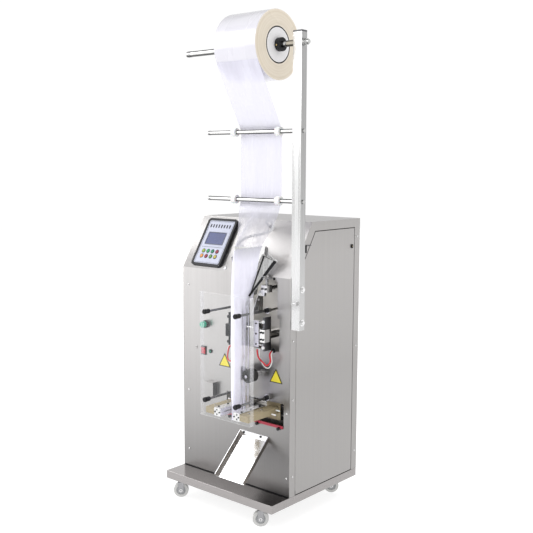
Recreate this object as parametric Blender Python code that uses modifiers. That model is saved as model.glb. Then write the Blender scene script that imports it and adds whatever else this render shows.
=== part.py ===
"""Vertical form fill sealer: a free-standing stainless sachet packer on casters.

Metres, +Z up, +X to the operator's right, -Y towards the operator. The origin is on the
floor, under the middle of the machine's bounding box.
"""

import math

import bmesh
import bpy
from mathutils import Matrix, Vector

# ---------------------------------------------------------------- driving dimensions
CABINET_LEFT, CABINET_RIGHT = -0.310, 0.250
CABINET_FRONT, CABINET_REAR = -0.120, 0.312
TRAY_FRONT = -0.221
TRAY_BOTTOM, TRAY_TOP = 0.075, 0.107
KNEE_Z, CABINET_TOP = 0.931, 1.131
SLANT_SETBACK = 0.124
SHEET = 0.002
GAP = 0.0003

CENTRE_X = 0.076  # middle of the film path
FILM_HALF = 0.100
FILM_THICKNESS = 0.0003

MAST_WIDTH, MAST_DEPTH = 0.0387, 0.0294
MAST_FRONT = -0.1175
MAST_BOTTOM, MAST_TOP = 0.745, 1.805
MAST_WALL = 0.0025
ROD_Y = MAST_FRONT + MAST_DEPTH / 2
LOWER_ROD_Z, UPPER_ROD_Z, ROLL_Z = 1.210, 1.460, 1.765
GUIDE_ROD_RADIUS, GUIDE_ROD_LEFT = 0.008, -0.178
COLLAR_RADIUS, COLLAR_LENGTH, COLLAR_STARTS = 0.0165, 0.020, (-0.0495, 0.1660)
ROLL_SHAFT_RADIUS, ROLL_SHAFT_LEFT, ROLL_SHAFT_RIGHT = 0.011, -0.291, 0.310
ROLL_RADIUS, ROLL_BORE = 0.1245, 0.066
REEL_DRIFT = -0.006  # how far the reel sits left of the film path

CASTER_INSET = (0.066, 0.046)
CASTER_TRAIL = 0.020
CASTER_SWIVEL = math.radians(130.0)
WHEEL_RADIUS, WHEEL_WIDTH, AXLE_RADIUS = 0.030, 0.022, 0.004

PLOUGH_ZS = (1.045, 1.000, 0.950, 0.905, 0.862)
TUBE_FRONT, TUBE_DEPTH = -0.246, 0.094
FILL_TUBE_Y, FILL_TUBE_RADIUS = -0.216, 0.0055

SEALER_FACE, SEALER_STROKE = 0.037, 0.0345
SEALER_Z = 0.7215
NIP_Z, ROLLER_RADIUS = 0.560, 0.025
ROLLER_X = 0.0259
JAW_FACE, JAW_STROKE = 0.0325, 0.030
JAW_Z = 0.4285
JAW_SHAFT_Y, JAW_SHAFT_ZS = -0.083, (0.404, 0.441)
SEALER_SHAFT_Y, SEALER_SHAFT_Z = -0.086, 0.720
PLATE_FRONT, PLATE_REAR = -0.0625, -0.0585

WINDOW_X, WINDOW_Z = (-0.0685, 0.2205), (0.375, 0.461)
SLOT_X, SLOT_Z = (-0.046, 0.198), (0.655, 0.779)
UPPER_X, UPPER_TOP = (-0.030, 0.188), 0.921

GUARD_HALF, GUARD_FRONT, GUARD_SHEET, GUARD_FLANGE = 0.1255, -0.2855, 0.003, 0.022
GUARD_Z = (0.409, 0.875)
POST_DX, POST_ZS, POST_RADIUS = 0.0765, (0.477, 0.807), 0.0045
KNOB_FRONT, KNOB_RADIUS = -0.312, 0.0085

PANEL_X, PANEL_S, PANEL_DEPTH = (-0.261, -0.103), (0.0095, 0.2190), 0.0135
KEY_XS = (-0.2195, -0.1950, -0.1705, -0.1460)
KEY_ROWS = (("upper", 0.0728), ("lower", 0.0503))
KEY_RADIUS, KEY_TRAVEL = 0.0070, 0.0012

DOOR_Y, DOOR_Z, DOOR_GAP = (-0.087, 0.277), (0.1075, 1.097), 0.003
LOCK_Y, LOCK_Z = 0.2575, 1.0235
ROCKER_TILT = 8.0

SLANT = math.atan2(SLANT_SETBACK, CABINET_TOP - KNEE_Z)
SLANT_UP = Vector((0, math.sin(SLANT), math.cos(SLANT)))
SLANT_OUT = Vector((0, -math.cos(SLANT), math.sin(SLANT)))

# ---------------------------------------------------------------- scene and helpers
for existing in list(bpy.data.objects):
    bpy.data.objects.remove(existing, do_unlink=True)

MACHINE = bpy.data.collections.new("vertical_form_fill_sealer")
CUTTERS = bpy.data.collections.new("cutters")
bpy.context.scene.collection.children.link(MACHINE)
bpy.context.scene.collection.children.link(CUTTERS)
CUTTERS.hide_render = True

AXES = {"X": Matrix.Rotation(math.pi / 2, 4, "Y"), "Y": Matrix.Rotation(-math.pi / 2, 4, "X"), "Z": Matrix()}
PLANES = {
    "XY": Matrix(),
    "XZ": Matrix.Rotation(math.pi / 2, 4, "X"),
    "YZ": Matrix(((0, 0, 1, 0), (1, 0, 0, 0), (0, 1, 0, 0), (0, 0, 0, 1))),
}


def material(name, colour, metallic=0.0, roughness=0.4, alpha=1.0):
    """A Principled material, made once for each name."""
    found = bpy.data.materials.get(name)
    if found:
        return found
    made = bpy.data.materials.new(name)
    made.use_nodes = True
    shader = made.node_tree.nodes["Principled BSDF"]
    shader.inputs["Base Color"].default_value = (*colour, 1.0)
    shader.inputs["Metallic"].default_value = metallic
    shader.inputs["Roughness"].default_value = roughness
    shader.inputs["Alpha"].default_value = alpha
    return made


def steel(name):
    return material(name, (0.62, 0.60, 0.58), 1.0, 0.32)


def chrome(name):
    return material(name, (0.78, 0.78, 0.78), 1.0, 0.12)


def plastic(name, colour, roughness=0.4):
    return material(name, colour, 0.0, roughness)


def add_mesh(name, mesh, look=None):
    """A new object that holds this mesh: a part if it has a look, and a cutter if not."""
    made = bpy.data.objects.new(name, mesh)
    if look:
        MACHINE.objects.link(made)
        mesh.materials.append(look)
    else:
        CUTTERS.objects.link(made)
        made.hide_render = True
        made.display_type = "WIRE"
    return made


def from_bmesh(name, shape, look=None):
    bmesh.ops.recalc_face_normals(shape, faces=shape.faces)
    mesh = bpy.data.meshes.new(name)
    shape.to_mesh(mesh)
    shape.free()
    return add_mesh(name, mesh, look)


def block(name, x, y, z, look=None):
    """A box between the two limits given on each axis."""
    shape = bmesh.new()
    bmesh.ops.create_cube(shape, size=1.0)
    low, high = (Vector(limits) for limits in zip(*(sorted(pair) for pair in (x, y, z))))
    shape.transform(Matrix.Translation((low + high) / 2) @ Matrix.Diagonal((*(high - low), 1.0)))
    return from_bmesh(name, shape, look)


def cylinder(name, axis, centre, radius, start, end, look=None, sides=24, end_radius=None):
    """A cylinder or cone along an axis, from start to end on it."""
    shape = bmesh.new()
    bmesh.ops.create_cone(
        shape, cap_ends=True, segments=sides, radius1=radius,
        radius2=radius if end_radius is None else end_radius, depth=end - start,
    )
    place = Vector(centre)
    place["XYZ".index(axis)] = (start + end) / 2
    shape.transform(Matrix.Translation(place) @ AXES[axis])
    return from_bmesh(name, shape, look)


def meshed(curve_object, name, look=None):
    """The mesh that a curve object makes, with its caps welded."""
    bpy.context.view_layer.update()
    graph = bpy.context.evaluated_depsgraph_get()
    mesh = bpy.data.meshes.new_from_object(curve_object.evaluated_get(graph))
    mesh.transform(curve_object.matrix_world)
    mesh.materials.clear()
    shape = bmesh.new()
    shape.from_mesh(mesh)
    bmesh.ops.remove_doubles(shape, verts=shape.verts, dist=0.00001)
    bpy.data.objects.remove(curve_object, do_unlink=True)
    return from_bmesh(name, shape, look)


def plate(name, plane, outline, start, end, look=None, placed=None):
    """An outline in a plane, extruded across it from start to end."""
    data = bpy.data.curves.new(name, "CURVE")
    data.dimensions = "2D"
    data.fill_mode = "BOTH"
    data.extrude = (end - start) / 2
    spline = data.splines.new("POLY")
    spline.points.add(len(outline) - 1)
    for point, (across, up) in zip(spline.points, outline):
        point.co = (across, up, 0.0, 1.0)
    spline.use_cyclic_u = True
    curve = bpy.data.objects.new(name + "_outline", data)
    CUTTERS.objects.link(curve)
    middle = (start + end) / 2
    normal_sign = -1 if plane == "XZ" else 1
    basis = placed if placed else PLANES[plane]
    curve.matrix_world = basis @ Matrix.Translation((0, 0, normal_sign * middle if not placed else middle))
    return meshed(curve, name, look)


def rounded(x, y, radius, steps=4):
    """The outline of a rectangle with round corners."""
    points = []
    corners = ((x[1], y[1], 0), (x[0], y[1], 90), (x[0], y[0], 180), (x[1], y[0], 270))
    for corner_x, corner_y, first in corners:
        middle_x = corner_x - math.copysign(radius, corner_x - sum(x) / 2)
        middle_y = corner_y - math.copysign(radius, corner_y - sum(y) / 2)
        for step in range(steps + 1):
            angle = math.radians(first + 90 * step / steps)
            points.append((middle_x + radius * math.cos(angle), middle_y + radius * math.sin(angle)))
    return points


def wire(name, points, radius, look, sides=2):
    """A round tube through points, as a poly curve with a bevel."""
    data = bpy.data.curves.new(name, "CURVE")
    data.dimensions = "3D"
    data.bevel_depth = radius
    data.bevel_resolution = sides
    data.use_fill_caps = True
    spline = data.splines.new("POLY")
    spline.points.add(len(points) - 1)
    for point, place in zip(spline.points, points):
        point.co = (*place, 1.0)
    curve = bpy.data.objects.new(name + "_curve", data)
    CUTTERS.objects.link(curve)
    return meshed(curve, name, look)


def smooth(points, steps):
    """Points on a Catmull-Rom curve through the given points."""
    path = [Vector(p) for p in points]
    path = [2 * path[0] - path[1], *path, 2 * path[-1] - path[-2]]
    found = []
    for a, b, c, d in zip(path, path[1:], path[2:], path[3:]):
        for step in range(steps):
            t = step / steps
            found.append(
                0.5 * (2 * b + (c - a) * t + (2 * a - 5 * b + 4 * c - d) * t**2 + (3 * b - a - 3 * c + d) * t**3)
            )
    return [*found, path[-2]]


def turned(name, axis_point, profile, look, steps=32):
    """A closed profile of (x, radius) points, turned about an X axis through axis_point."""
    shape = bmesh.new()
    corners = [shape.verts.new((x, radius, 0.0)) for x, radius in reversed(profile)]
    for first, second in zip(corners, corners[1:] + corners[:1]):
        shape.edges.new((first, second))
    mesh = bpy.data.meshes.new(name)
    shape.to_mesh(mesh)
    shape.free()
    made = add_mesh(name, mesh, look)
    screw = made.modifiers.new("turn", "SCREW")
    screw.axis = "X"
    screw.steps = screw.render_steps = steps
    screw.use_merge_vertices = True
    screw.merge_threshold = 0.00001
    made.location = axis_point
    return made


def combine(part, operation, *helpers):
    """Boolean modifiers on part, one for each helper. Each helper becomes a cutter."""
    for helper in helpers:
        if helper.name in MACHINE.objects:
            MACHINE.objects.unlink(helper)
            CUTTERS.objects.link(helper)
        helper.hide_render = True
        helper.display_type = "WIRE"
        change = part.modifiers.new(operation.lower(), "BOOLEAN")
        change.operation = operation
        change.solver = "EXACT"
        change.object = helper
    return part


def join(part, *helpers):
    return combine(part, "UNION", *helpers)


def cut(part, *helpers):
    return combine(part, "DIFFERENCE", *helpers)


def pivot(part, point):
    """Moves the object's origin to a point on its joint's axis, and leaves its shape in place."""
    part.data.transform(Matrix.Translation(part.location - Vector(point)))
    part.location = point
    return part


def on_slant(x, s, out=0.0):
    """A point on the slanted face: x across, s up from the knee, out from the sheet."""
    return Vector((x, CABINET_FRONT, KNEE_Z)) + s * SLANT_UP + out * SLANT_OUT


def slant_basis(out):
    """The slanted face's own frame: across, up and out."""
    frame = Matrix(((1, 0, 0), (0, *SLANT_UP.yz), (0, *SLANT_UP.yz))).to_4x4()
    frame.col[0] = (1, 0, 0, 0)
    frame.col[1] = (*SLANT_UP, 0)
    frame.col[2] = (*SLANT_OUT, 0)
    frame.col[3] = (*on_slant(0.0, 0.0, out), 1)
    return frame


def mirrored(x, side):
    """Limits on X at a distance from the film's centre plane, on its left (-1) or right (+1)."""
    return tuple(sorted(CENTRE_X + side * value for value in x))


# ---------------------------------------------------------------- base and casters
def base_tray():
    """A folded pan, open underneath, with a plate in each corner for a caster."""
    x, y = (CABINET_LEFT, CABINET_RIGHT), (TRAY_FRONT, CABINET_REAR)
    wall = 0.003
    tray = block("base_tray", x, y, (TRAY_BOTTOM, TRAY_TOP), steel("base_tray"))
    hollow = block(
        "tray_hollow", (x[0] + wall, x[1] - wall), (y[0] + wall, y[1] - wall), (TRAY_BOTTOM - 0.01, TRAY_TOP - wall)
    )
    cut(tray, hollow)
    for side_x in (0, 1):
        for side_y in (0, 1):
            inwards_x, inwards_y = 1 - 2 * side_x, 1 - 2 * side_y
            corner = block(
                "tray_corner",
                (x[side_x] + 0.001 * inwards_x, x[side_x] + 0.090 * inwards_x),
                (y[side_y] + 0.001 * inwards_y, y[side_y] + 0.090 * inwards_y),
                (TRAY_BOTTOM, TRAY_BOTTOM + 0.004),
            )
            join(tray, corner)
    return tray


def caster(name, x, y):
    """A swivelling fork with its axle, and a nylon wheel that turns on the axle, both turned about the swivel."""
    wheel_y = y + CASTER_TRAIL
    half = WHEEL_WIDTH / 2
    fork = cylinder(
        "caster_fork_" + name, "Z", (x, y, 0), 0.023, 0.0645, TRAY_BOTTOM - GAP, steel("caster_fork_" + name), 20
    )
    pieces = [
        block("bridge", (x - half - 0.0045, x + half + 0.0045), (y - 0.012, wheel_y + 0.012), (0.0625, 0.0655)),
        cylinder("axle", "X", (0, wheel_y, WHEEL_RADIUS), AXLE_RADIUS, x - half - 0.006, x + half + 0.006, sides=16),
    ]
    for side in (-1, 1):
        cheek = block(
            "cheek",
            sorted((x + side * (half + 0.0015), x + side * (half + 0.0045))),
            (wheel_y - 0.011, wheel_y + 0.011), (0.021, 0.0635),
        )
        pieces.append(cheek)
    for piece in pieces:
        join(fork, piece)
    pivot(fork, (x, y, 0.0655))
    tyre, hub = WHEEL_RADIUS, 0.018
    wheel = turned(
        "caster_wheel_" + name, (x, wheel_y, WHEEL_RADIUS),
        [
            (-half, AXLE_RADIUS + 0.0004), (-half, 0.009), (-half + 0.003, 0.010), (-half + 0.003, hub),
            (-half, hub + 0.001), (-half, tyre - 0.002), (-half + 0.002, tyre), (half - 0.002, tyre),
            (half, tyre - 0.002), (half, hub + 0.001), (half - 0.003, hub), (half - 0.003, 0.010),
            (half, 0.009), (half, AXLE_RADIUS + 0.0004),
        ],
        plastic("caster_wheel_" + name, (0.85, 0.84, 0.80)), 28,
    )
    swivel = Matrix.Translation((x, y, 0)) @ Matrix.Rotation(CASTER_SWIVEL, 4, "Z") @ Matrix.Translation((-x, -y, 0))
    for piece in (fork, wheel, *pieces):
        piece.matrix_basis = swivel @ piece.matrix_basis


# ---------------------------------------------------------------- cabinet
def side_outline(inset=0.0, z_low=TRAY_TOP + GAP):
    """The cabinet's side view in Y and Z, with its slanted front, drawn inset by a distance."""
    top = CABINET_TOP - inset
    front = CABINET_FRONT + inset
    knee = KNEE_Z - inset * math.tan(SLANT / 2)
    slant_top_y = CABINET_FRONT + SLANT_SETBACK + inset / math.cos(SLANT) - inset * math.tan(SLANT)
    return [(CABINET_REAR, z_low), (CABINET_REAR, top), (slant_top_y, top), (front, knee), (front, z_low)]


def cabinet_body():
    """The welded wrap: left side, top, and the right side's frame round the door."""
    body = plate("cabinet_body", "YZ", side_outline(), CABINET_LEFT, CABINET_RIGHT, steel("cabinet_body"))
    hollow_outline = [
        (CABINET_REAR + 0.05, 0.05), (CABINET_REAR + 0.05, CABINET_TOP - SHEET),
        (CABINET_FRONT - 0.05, CABINET_TOP - SHEET), (CABINET_FRONT - 0.05, 0.05),
    ]
    cut(body, plate("body_hollow", "YZ", hollow_outline, CABINET_LEFT + SHEET, CABINET_RIGHT - SHEET))
    opening = [(y, z - 0.02 if z < TRAY_TOP + 0.01 else z) for y, z in door_outline(0.0)]
    cut(body, plate("door_opening", "YZ", opening, CABINET_RIGHT - 0.02, CABINET_RIGHT + 0.02))
    cut(body, *[
        cylinder("mast_bolt_hole", "X", (0, ROD_Y, z), 0.0046, CABINET_RIGHT - 0.01, CABINET_RIGHT + 0.01, sides=16)
        for z in (0.773, 0.894)
    ])
    return body


def door_outline(inset):
    """The door's side view, which follows the slanted front at its top."""
    front, rear = DOOR_Y[0] + inset, DOOR_Y[1] - inset
    low, top = DOOR_Z[0] + inset, DOOR_Z[1] - inset
    post = DOOR_Y[0] - CABINET_FRONT
    knee = KNEE_Z - (post + inset) * math.tan(SLANT / 2)
    top_y = front + (top - knee) * math.tan(SLANT)
    return [(rear, low), (rear, top), (top_y, top), (front, knee), (front, low)]


def side_door():
    """A flush door with a folded rim inside, hung on its front edge."""
    door = plate(
        "side_door", "YZ", door_outline(DOOR_GAP), CABINET_RIGHT - SHEET, CABINET_RIGHT, steel("side_door")
    )
    rim = plate("door_rim", "YZ", door_outline(DOOR_GAP + 0.006), CABINET_RIGHT - 0.012, CABINET_RIGHT - SHEET / 2)
    core = plate("door_rim_core", "YZ", door_outline(DOOR_GAP + 0.008), CABINET_RIGHT - 0.02, CABINET_RIGHT - SHEET)
    join(door, rim)
    cut(door, core)
    cut(door, cylinder("lock_hole", "X", (0, LOCK_Y, LOCK_Z), 0.0034, CABINET_RIGHT - 0.02, CABINET_RIGHT + 0.02, sides=20))
    return pivot(door, (CABINET_RIGHT, DOOR_Y[0] + 0.001, DOOR_Z[0]))


def door_lock():
    """A quarter-turn lock: head outside, barrel through the door, cam inside."""
    head = rounded((LOCK_Y - 0.0045, LOCK_Y + 0.0045), (LOCK_Z - 0.0080, LOCK_Z + 0.0080), 0.0040, 4)
    lock = plate(
        "door_lock", "YZ", head, CABINET_RIGHT + GAP, CABINET_RIGHT + 0.004, plastic("door_lock", (0.03, 0.03, 0.03))
    )
    barrel = cylinder(
        "barrel", "X", (0, LOCK_Y, LOCK_Z), 0.0030, CABINET_RIGHT - 0.030, CABINET_RIGHT + 0.002, sides=16
    )
    join(lock, barrel)
    cam = block(
        "cam", (CABINET_RIGHT - 0.029, CABINET_RIGHT - 0.0265), (LOCK_Y - 0.006, LOCK_Y + 0.006),
        (LOCK_Z - 0.008, LOCK_Z + 0.034),
    )
    join(lock, cam)
    return pivot(lock, (CABINET_RIGHT, LOCK_Y, LOCK_Z))


def rear_panel():
    """The removable back, with a field of ventilation slots and the cut-out of the mains inlet."""
    x = (CABINET_LEFT + SHEET + GAP, CABINET_RIGHT - SHEET - GAP)
    z = (TRAY_TOP + GAP, CABINET_TOP - SHEET - GAP)
    panel = block("rear_panel", x, (CABINET_REAR - 0.004, CABINET_REAR - 0.002), z, steel("rear_panel"))
    for row in range(5):
        height = 0.62 + 0.022 * row
        slot = block("vent", (-0.13, 0.07), (CABINET_REAR - 0.02, CABINET_REAR + 0.02), (height, height + 0.007))
        cut(panel, slot)
    cut(panel, block("inlet_hole", (-0.2245, -0.1955), (CABINET_REAR - 0.02, CABINET_REAR + 0.02), (0.1855, 0.2145)))
    return panel


def power_inlet():
    """A panel-mounted mains inlet: flange outside, body inside, and a socket well."""
    inlet = block(
        "power_inlet", (-0.235, -0.185), (CABINET_REAR - 0.002 + GAP, CABINET_REAR), (0.180, 0.220),
        plastic("power_inlet", (0.03, 0.03, 0.03)),
    )
    join(inlet, block("inlet_body", (-0.224, -0.196), (CABINET_REAR - 0.030, CABINET_REAR - 0.001), (0.186, 0.214)))
    cut(inlet, plate(
        "inlet_well", "XZ", [(-0.2215, 0.1885), (-0.1985, 0.1885), (-0.1985, 0.204), (-0.204, 0.2095), (-0.216, 0.2095),
                            (-0.2215, 0.204)], CABINET_REAR - 0.017, CABINET_REAR + 0.01,
    ))
    return inlet


def front_panel():
    """The folded front sheet with its windows, guard posts, button collars and junction box."""
    outer, inner = side_outline(), side_outline(SHEET)
    slant_stop = SHEET + GAP
    top_z = CABINET_TOP - slant_stop
    outer_top = CABINET_FRONT + (top_z - KNEE_Z) * math.tan(SLANT)
    profile = [
        outer[4], outer[3], (outer_top, top_z), (outer_top + SHEET / math.cos(SLANT), top_z), inner[3],
        (inner[4][0], outer[4][1]),
    ]
    x = (CABINET_LEFT + SHEET + GAP, CABINET_RIGHT - SHEET - GAP)
    panel = plate("front_panel", "YZ", profile, *x, steel("front_panel"))
    through = (CABINET_FRONT - 0.02, CABINET_FRONT + 0.02)
    cut(panel, plate("jaw_window", "XZ", rounded(WINDOW_X, WINDOW_Z, 0.003, 2), *through))
    cut(panel, block("sealer_slot", SLOT_X, through, SLOT_Z))
    cut(panel, plate("upper_window", "XZ", rounded(UPPER_X, (SLOT_Z[1] - 0.03, UPPER_TOP), 0.011, 4), *through))
    for side in (-1, 1):
        hole_x = CENTRE_X + side * ROLLER_X
        cut(panel, cylinder("roller_hole", "Y", (hole_x, 0, NIP_Z), 0.0105, *through, sides=20))
    return front_fittings(panel)


def guard_posts(holder, z, root):
    """Two posts for the guard, with their feet, studs and knobs, joined to what holds them."""
    for dx in (-POST_DX, POST_DX):
        centre = (CENTRE_X + dx - 0.0015, 0, z)
        join(
            holder,
            cylinder("post", "Y", centre, POST_RADIUS, GUARD_FRONT + GUARD_SHEET + GAP, root, sides=16),
            cylinder("post_foot", "Y", centre, 0.0085, CABINET_FRONT - 0.012, CABINET_FRONT + 0.001, sides=16),
            cylinder("post_stud", "Y", centre, 0.003, KNOB_FRONT + 0.01, CABINET_FRONT - 0.1, sides=12),
            cylinder("knob", "Y", centre, KNOB_RADIUS, KNOB_FRONT, GUARD_FRONT - GAP, sides=16),
        )


def front_fittings(panel):
    """What is fixed to the front sheet for good: posts, collars, a box, the strip and its knobs."""
    face = CABINET_FRONT + 0.001
    guard_posts(panel, POST_ZS[0], face)
    for x, z, outer, bore, depth in ((-0.179, 0.7126, 0.0155, 0.0127, 0.011), (-0.155, 0.6055, 0.008, 0.0059, 0.004)):
        join(panel, cylinder("collar", "Y", (x, 0, z), outer, CABINET_FRONT - depth, face))
        cut(panel, cylinder("collar_bore", "Y", (x, 0, z), bore, CABINET_FRONT - 0.03, CABINET_FRONT + 0.02))
    rocker_x, rocker_z = (-0.2065, -0.1795), (0.587, 0.622)
    join(panel, block("rocker_frame", rocker_x, (CABINET_FRONT - 0.003, face), rocker_z))
    cut(panel, block(
        "rocker_well", (rocker_x[0] + 0.003, rocker_x[1] - 0.003), (CABINET_FRONT - 0.02, CABINET_FRONT + 0.02),
        (rocker_z[0] + 0.003, rocker_z[1] - 0.003),
    ))
    join(panel, block("junction_box", (-0.168, -0.123), (CABINET_FRONT - 0.022, face), (0.430, 0.486)))
    join(panel, block("edge_strip", (-0.062, 0.2185), (CABINET_FRONT - 0.004, face), (0.3665, 0.3765)))
    for x in (-0.045, 0.0955, 0.201):
        join(panel, cylinder("strip_knob", "Y", (x, 0, 0.3650), 0.006, CABINET_FRONT - 0.012, face, sides=14))
    port = slant_basis(0.0)
    fitting = cylinder("hose_port", "Z", (0.060, 0.205, 0), 0.0075, -0.0005, 0.012, sides=16)
    fitting.data.transform(port)
    return join(panel, fitting)


def mechanism_plate():
    """The bulkhead behind the front sheet, with the fixed shafts that the jaws and sealers ride on."""
    x = (CABINET_LEFT + SHEET + GAP, CABINET_RIGHT - SHEET - GAP)
    bulkhead = block("mechanism_plate", x, (PLATE_FRONT, PLATE_REAR), (0.330, 0.918), steel("mechanism_plate"))
    rails = [("jaw", JAW_SHAFT_Y, z, -0.118, 0.234) for z in JAW_SHAFT_ZS]
    rails.append(("sealer", SEALER_SHAFT_Y, SEALER_SHAFT_Z, -0.078, 0.230))
    for name, y, z, low, high in rails:
        join(bulkhead, cylinder(name + "_shaft", "X", (0, y, z), 0.006, low, high, sides=16))
    for low, high, z in ((-0.120, -0.106, (0.385, 0.460)), (0.224, 0.236, (0.385, 0.460)),
                         (-0.080, -0.068, (0.700, 0.740)), (0.220, 0.232, (0.700, 0.740))):
        join(bulkhead, block("shaft_block", (low, high), (-0.100, PLATE_FRONT + 0.001), z))
    for side in (-1, 1):
        hole_x = CENTRE_X + side * ROLLER_X
        cut(bulkhead, cylinder("shaft_hole", "Y", (hole_x, 0, NIP_Z), 0.0066, -0.1, 0.0, sides=16))
    guard_posts(bulkhead, POST_ZS[1], PLATE_FRONT + 0.001)
    for low, high in ((-0.114, -0.104), (0.226, 0.236)):
        bracket = block("cam_bracket", (low, high), (PLATE_REAR - 0.001, 0.055), (0.465, 0.515))
        join(bulkhead, bracket)
    cut(bulkhead, cylinder("cam_bearing", "X", (0, 0.030, 0.490), 0.0084, -0.13, 0.26, sides=20))
    return bulkhead


# ---------------------------------------------------------------- drive and dosing, inside
def cam_shaft():
    """The main shaft, with the cams that time the jaws, the sealers and the pump."""
    shaft = cylinder("cam_shaft", "X", (0, 0.030, 0.490), 0.008, -0.128, 0.2395, chrome("cam_shaft"), 20)
    for number, x in enumerate((-0.075, 0.010, 0.085, 0.205)):
        angle = math.radians(95 * number)
        centre = (0, 0.030 + 0.008 * math.cos(angle), 0.490 + 0.008 * math.sin(angle))
        join(shaft, cylinder("cam", "X", centre, 0.026, x, x + 0.012, sides=28))
    return pivot(shaft, (0.0, 0.030, 0.490))


def gear_motor():
    """The gearbox, bolted behind the bulkhead, with the motor on its back."""
    gearbox = block("gear_motor", (0.115, 0.195), (PLATE_REAR + GAP, 0.010), (0.590, 0.670), steel("gear_motor"))
    join(gearbox, cylinder("motor", "Y", (0.155, 0, 0.630), 0.036, 0.009, 0.130, sides=28))
    join(gearbox, cylinder("motor_tail", "Y", (0.155, 0, 0.630), 0.030, 0.129, 0.142, sides=28))
    return gearbox


def dosing_pump():
    """A piston pump: an upright barrel, open below, clamped to the bulkhead."""
    x, y = -0.190, 0.010
    pump = cylinder("dosing_pump", "Z", (x, y, 0), 0.030, 0.640, 0.800, steel("dosing_pump"), 28)
    cut(pump, cylinder("barrel_bore", "Z", (x, y, 0), 0.0255, 0.630, 0.790, sides=28))
    join(pump, block("pump_clamp", (x - 0.02, x + 0.02), (PLATE_REAR + GAP, y - 0.027), (0.700, 0.760)))
    join(pump, cylinder("pump_outlet", "Z", (x, y, 0), 0.008, 0.799, 0.825, sides=16))
    piston = cylinder("pump_piston", "Z", (x, y, 0), 0.0250, 0.700, 0.725, chrome("pump_piston"), 28)
    join(piston, cylinder("piston_rod", "Z", (x, y, 0), 0.008, 0.590, 0.701, sides=16))
    join(piston, block("piston_yoke", (x - 0.012, x + 0.012), (y - 0.008, y + 0.008), (0.570, 0.594)))
    pivot(piston, (x, y, 0.700))


def control_box():
    """The closed electrical box on the left side."""
    left = CABINET_LEFT + SHEET + GAP
    return block(
        "control_box", (left, left + 0.075), (0.110, 0.280), (0.760, 0.960), material("control_box", (0.55, 0.56, 0.57))
    )


# ---------------------------------------------------------------- mast, reel and film guides
def mast():
    """The square post on the right side, closed at its top, with its two bolts into the cabinet."""
    x = (CABINET_RIGHT + GAP, CABINET_RIGHT + GAP + MAST_WIDTH)
    y = (MAST_FRONT, MAST_FRONT + MAST_DEPTH)
    post = block("mast", x, y, (MAST_BOTTOM, MAST_TOP), steel("mast"))
    for z in (0.773, 0.894):
        join(
            post,
            cylinder("mast_washer", "X", (0, ROD_Y, z), 0.0125, x[1] - 0.001, x[1] + 0.0015, sides=20),
            cylinder("mast_bolt", "X", (0, ROD_Y, z), 0.0080, x[1] + 0.0005, x[1] + 0.0075, sides=6),
        )
    join(post, block("mast_hook", (x[0] + 0.004, x[0] + 0.028), (y[0] - 0.006, y[0] + 0.001), (0.838, 0.843)))
    join(post, block("mast_hook_tip", (x[0] + 0.025, x[0] + 0.029), (y[0] - 0.007, y[0] + 0.0015), (0.837, 0.852)))
    hollow = block(
        "mast_hollow", (x[0] + MAST_WALL, x[1] - MAST_WALL), (y[0] + MAST_WALL, y[1] - MAST_WALL),
        (MAST_BOTTOM - 0.01, MAST_TOP - MAST_WALL),
    )
    cut(post, hollow)
    for z in (0.773, 0.894):
        join(post, cylinder("bolt_shank", "X", (0, ROD_Y, z), 0.0040, CABINET_RIGHT - 0.006, x[1] + 0.003, sides=12))
    for z, radius in ((ROLL_Z, 0.0084), (UPPER_ROD_Z, 0.0044), (LOWER_ROD_Z, 0.0044)):
        cut(post, cylinder("shaft_hole", "X", (0, ROD_Y, z), radius, x[0] - 0.01, x[1] + 0.01, sides=20))
    return post


def roll_shaft():
    """The reel's fixed shaft: a shoulder against the mast, a thread through it, and a nut."""
    right = CABINET_RIGHT + GAP + MAST_WIDTH
    shaft = cylinder(
        "roll_shaft", "X", (0, ROD_Y, ROLL_Z), ROLL_SHAFT_RADIUS, ROLL_SHAFT_LEFT, CABINET_RIGHT, chrome("roll_shaft")
    )
    return join(
        shaft,
        cylinder("thread", "X", (0, ROD_Y, ROLL_Z), 0.0080, CABINET_RIGHT - 0.01, ROLL_SHAFT_RIGHT, sides=20),
        cylinder("washer", "X", (0, ROD_Y, ROLL_Z), 0.0140, right + GAP, right + 0.0025, sides=20),
        cylinder("nut", "X", (0, ROD_Y, ROLL_Z), 0.0125, right + 0.002, right + 0.0135, sides=6),
    )


def reel():
    """The roll of film on its hub, and a black collar at each end that keeps it in place."""
    low, high = CENTRE_X + REEL_DRIFT - FILM_HALF, CENTRE_X + REEL_DRIFT + FILM_HALF
    axis = (0.0, ROD_Y, ROLL_Z)
    turned(
        "film_roll", axis,
        [(low, ROLL_BORE), (low, ROLL_RADIUS - 0.001), (low + 0.001, ROLL_RADIUS), (high - 0.001, ROLL_RADIUS),
         (high, ROLL_RADIUS - 0.001), (high, ROLL_BORE)],
        plastic("film_roll", (0.80, 0.74, 0.62)), 56,
    )
    bore, face, lip, sleeve = ROLL_SHAFT_RADIUS + 0.0004, 0.0615, 0.0645, ROLL_BORE - 0.0004
    turned(
        "roll_hub", axis,
        [
            (low, bore), (low, face), (low + 0.006, face), (low + 0.006, lip), (low, lip), (low, sleeve),
            (high, sleeve), (high, lip), (high - 0.006, lip), (high - 0.006, face), (high, face), (high, bore),
            (high - 0.012, bore), (high - 0.012, 0.060), (low + 0.012, 0.060), (low + 0.012, bore),
        ],
        plastic("roll_hub", (0.86, 0.85, 0.86)), 40,
    )
    for name, start in (("left", low - 0.0215), ("right", high + 0.0035)):
        turned(
            "shaft_collar_" + name, axis,
            [(start, bore), (start, 0.0245), (start + 0.018, 0.0245), (start + 0.018, bore)],
            plastic("shaft_collar_" + name, (0.02, 0.02, 0.025)), 28,
        )


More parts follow.
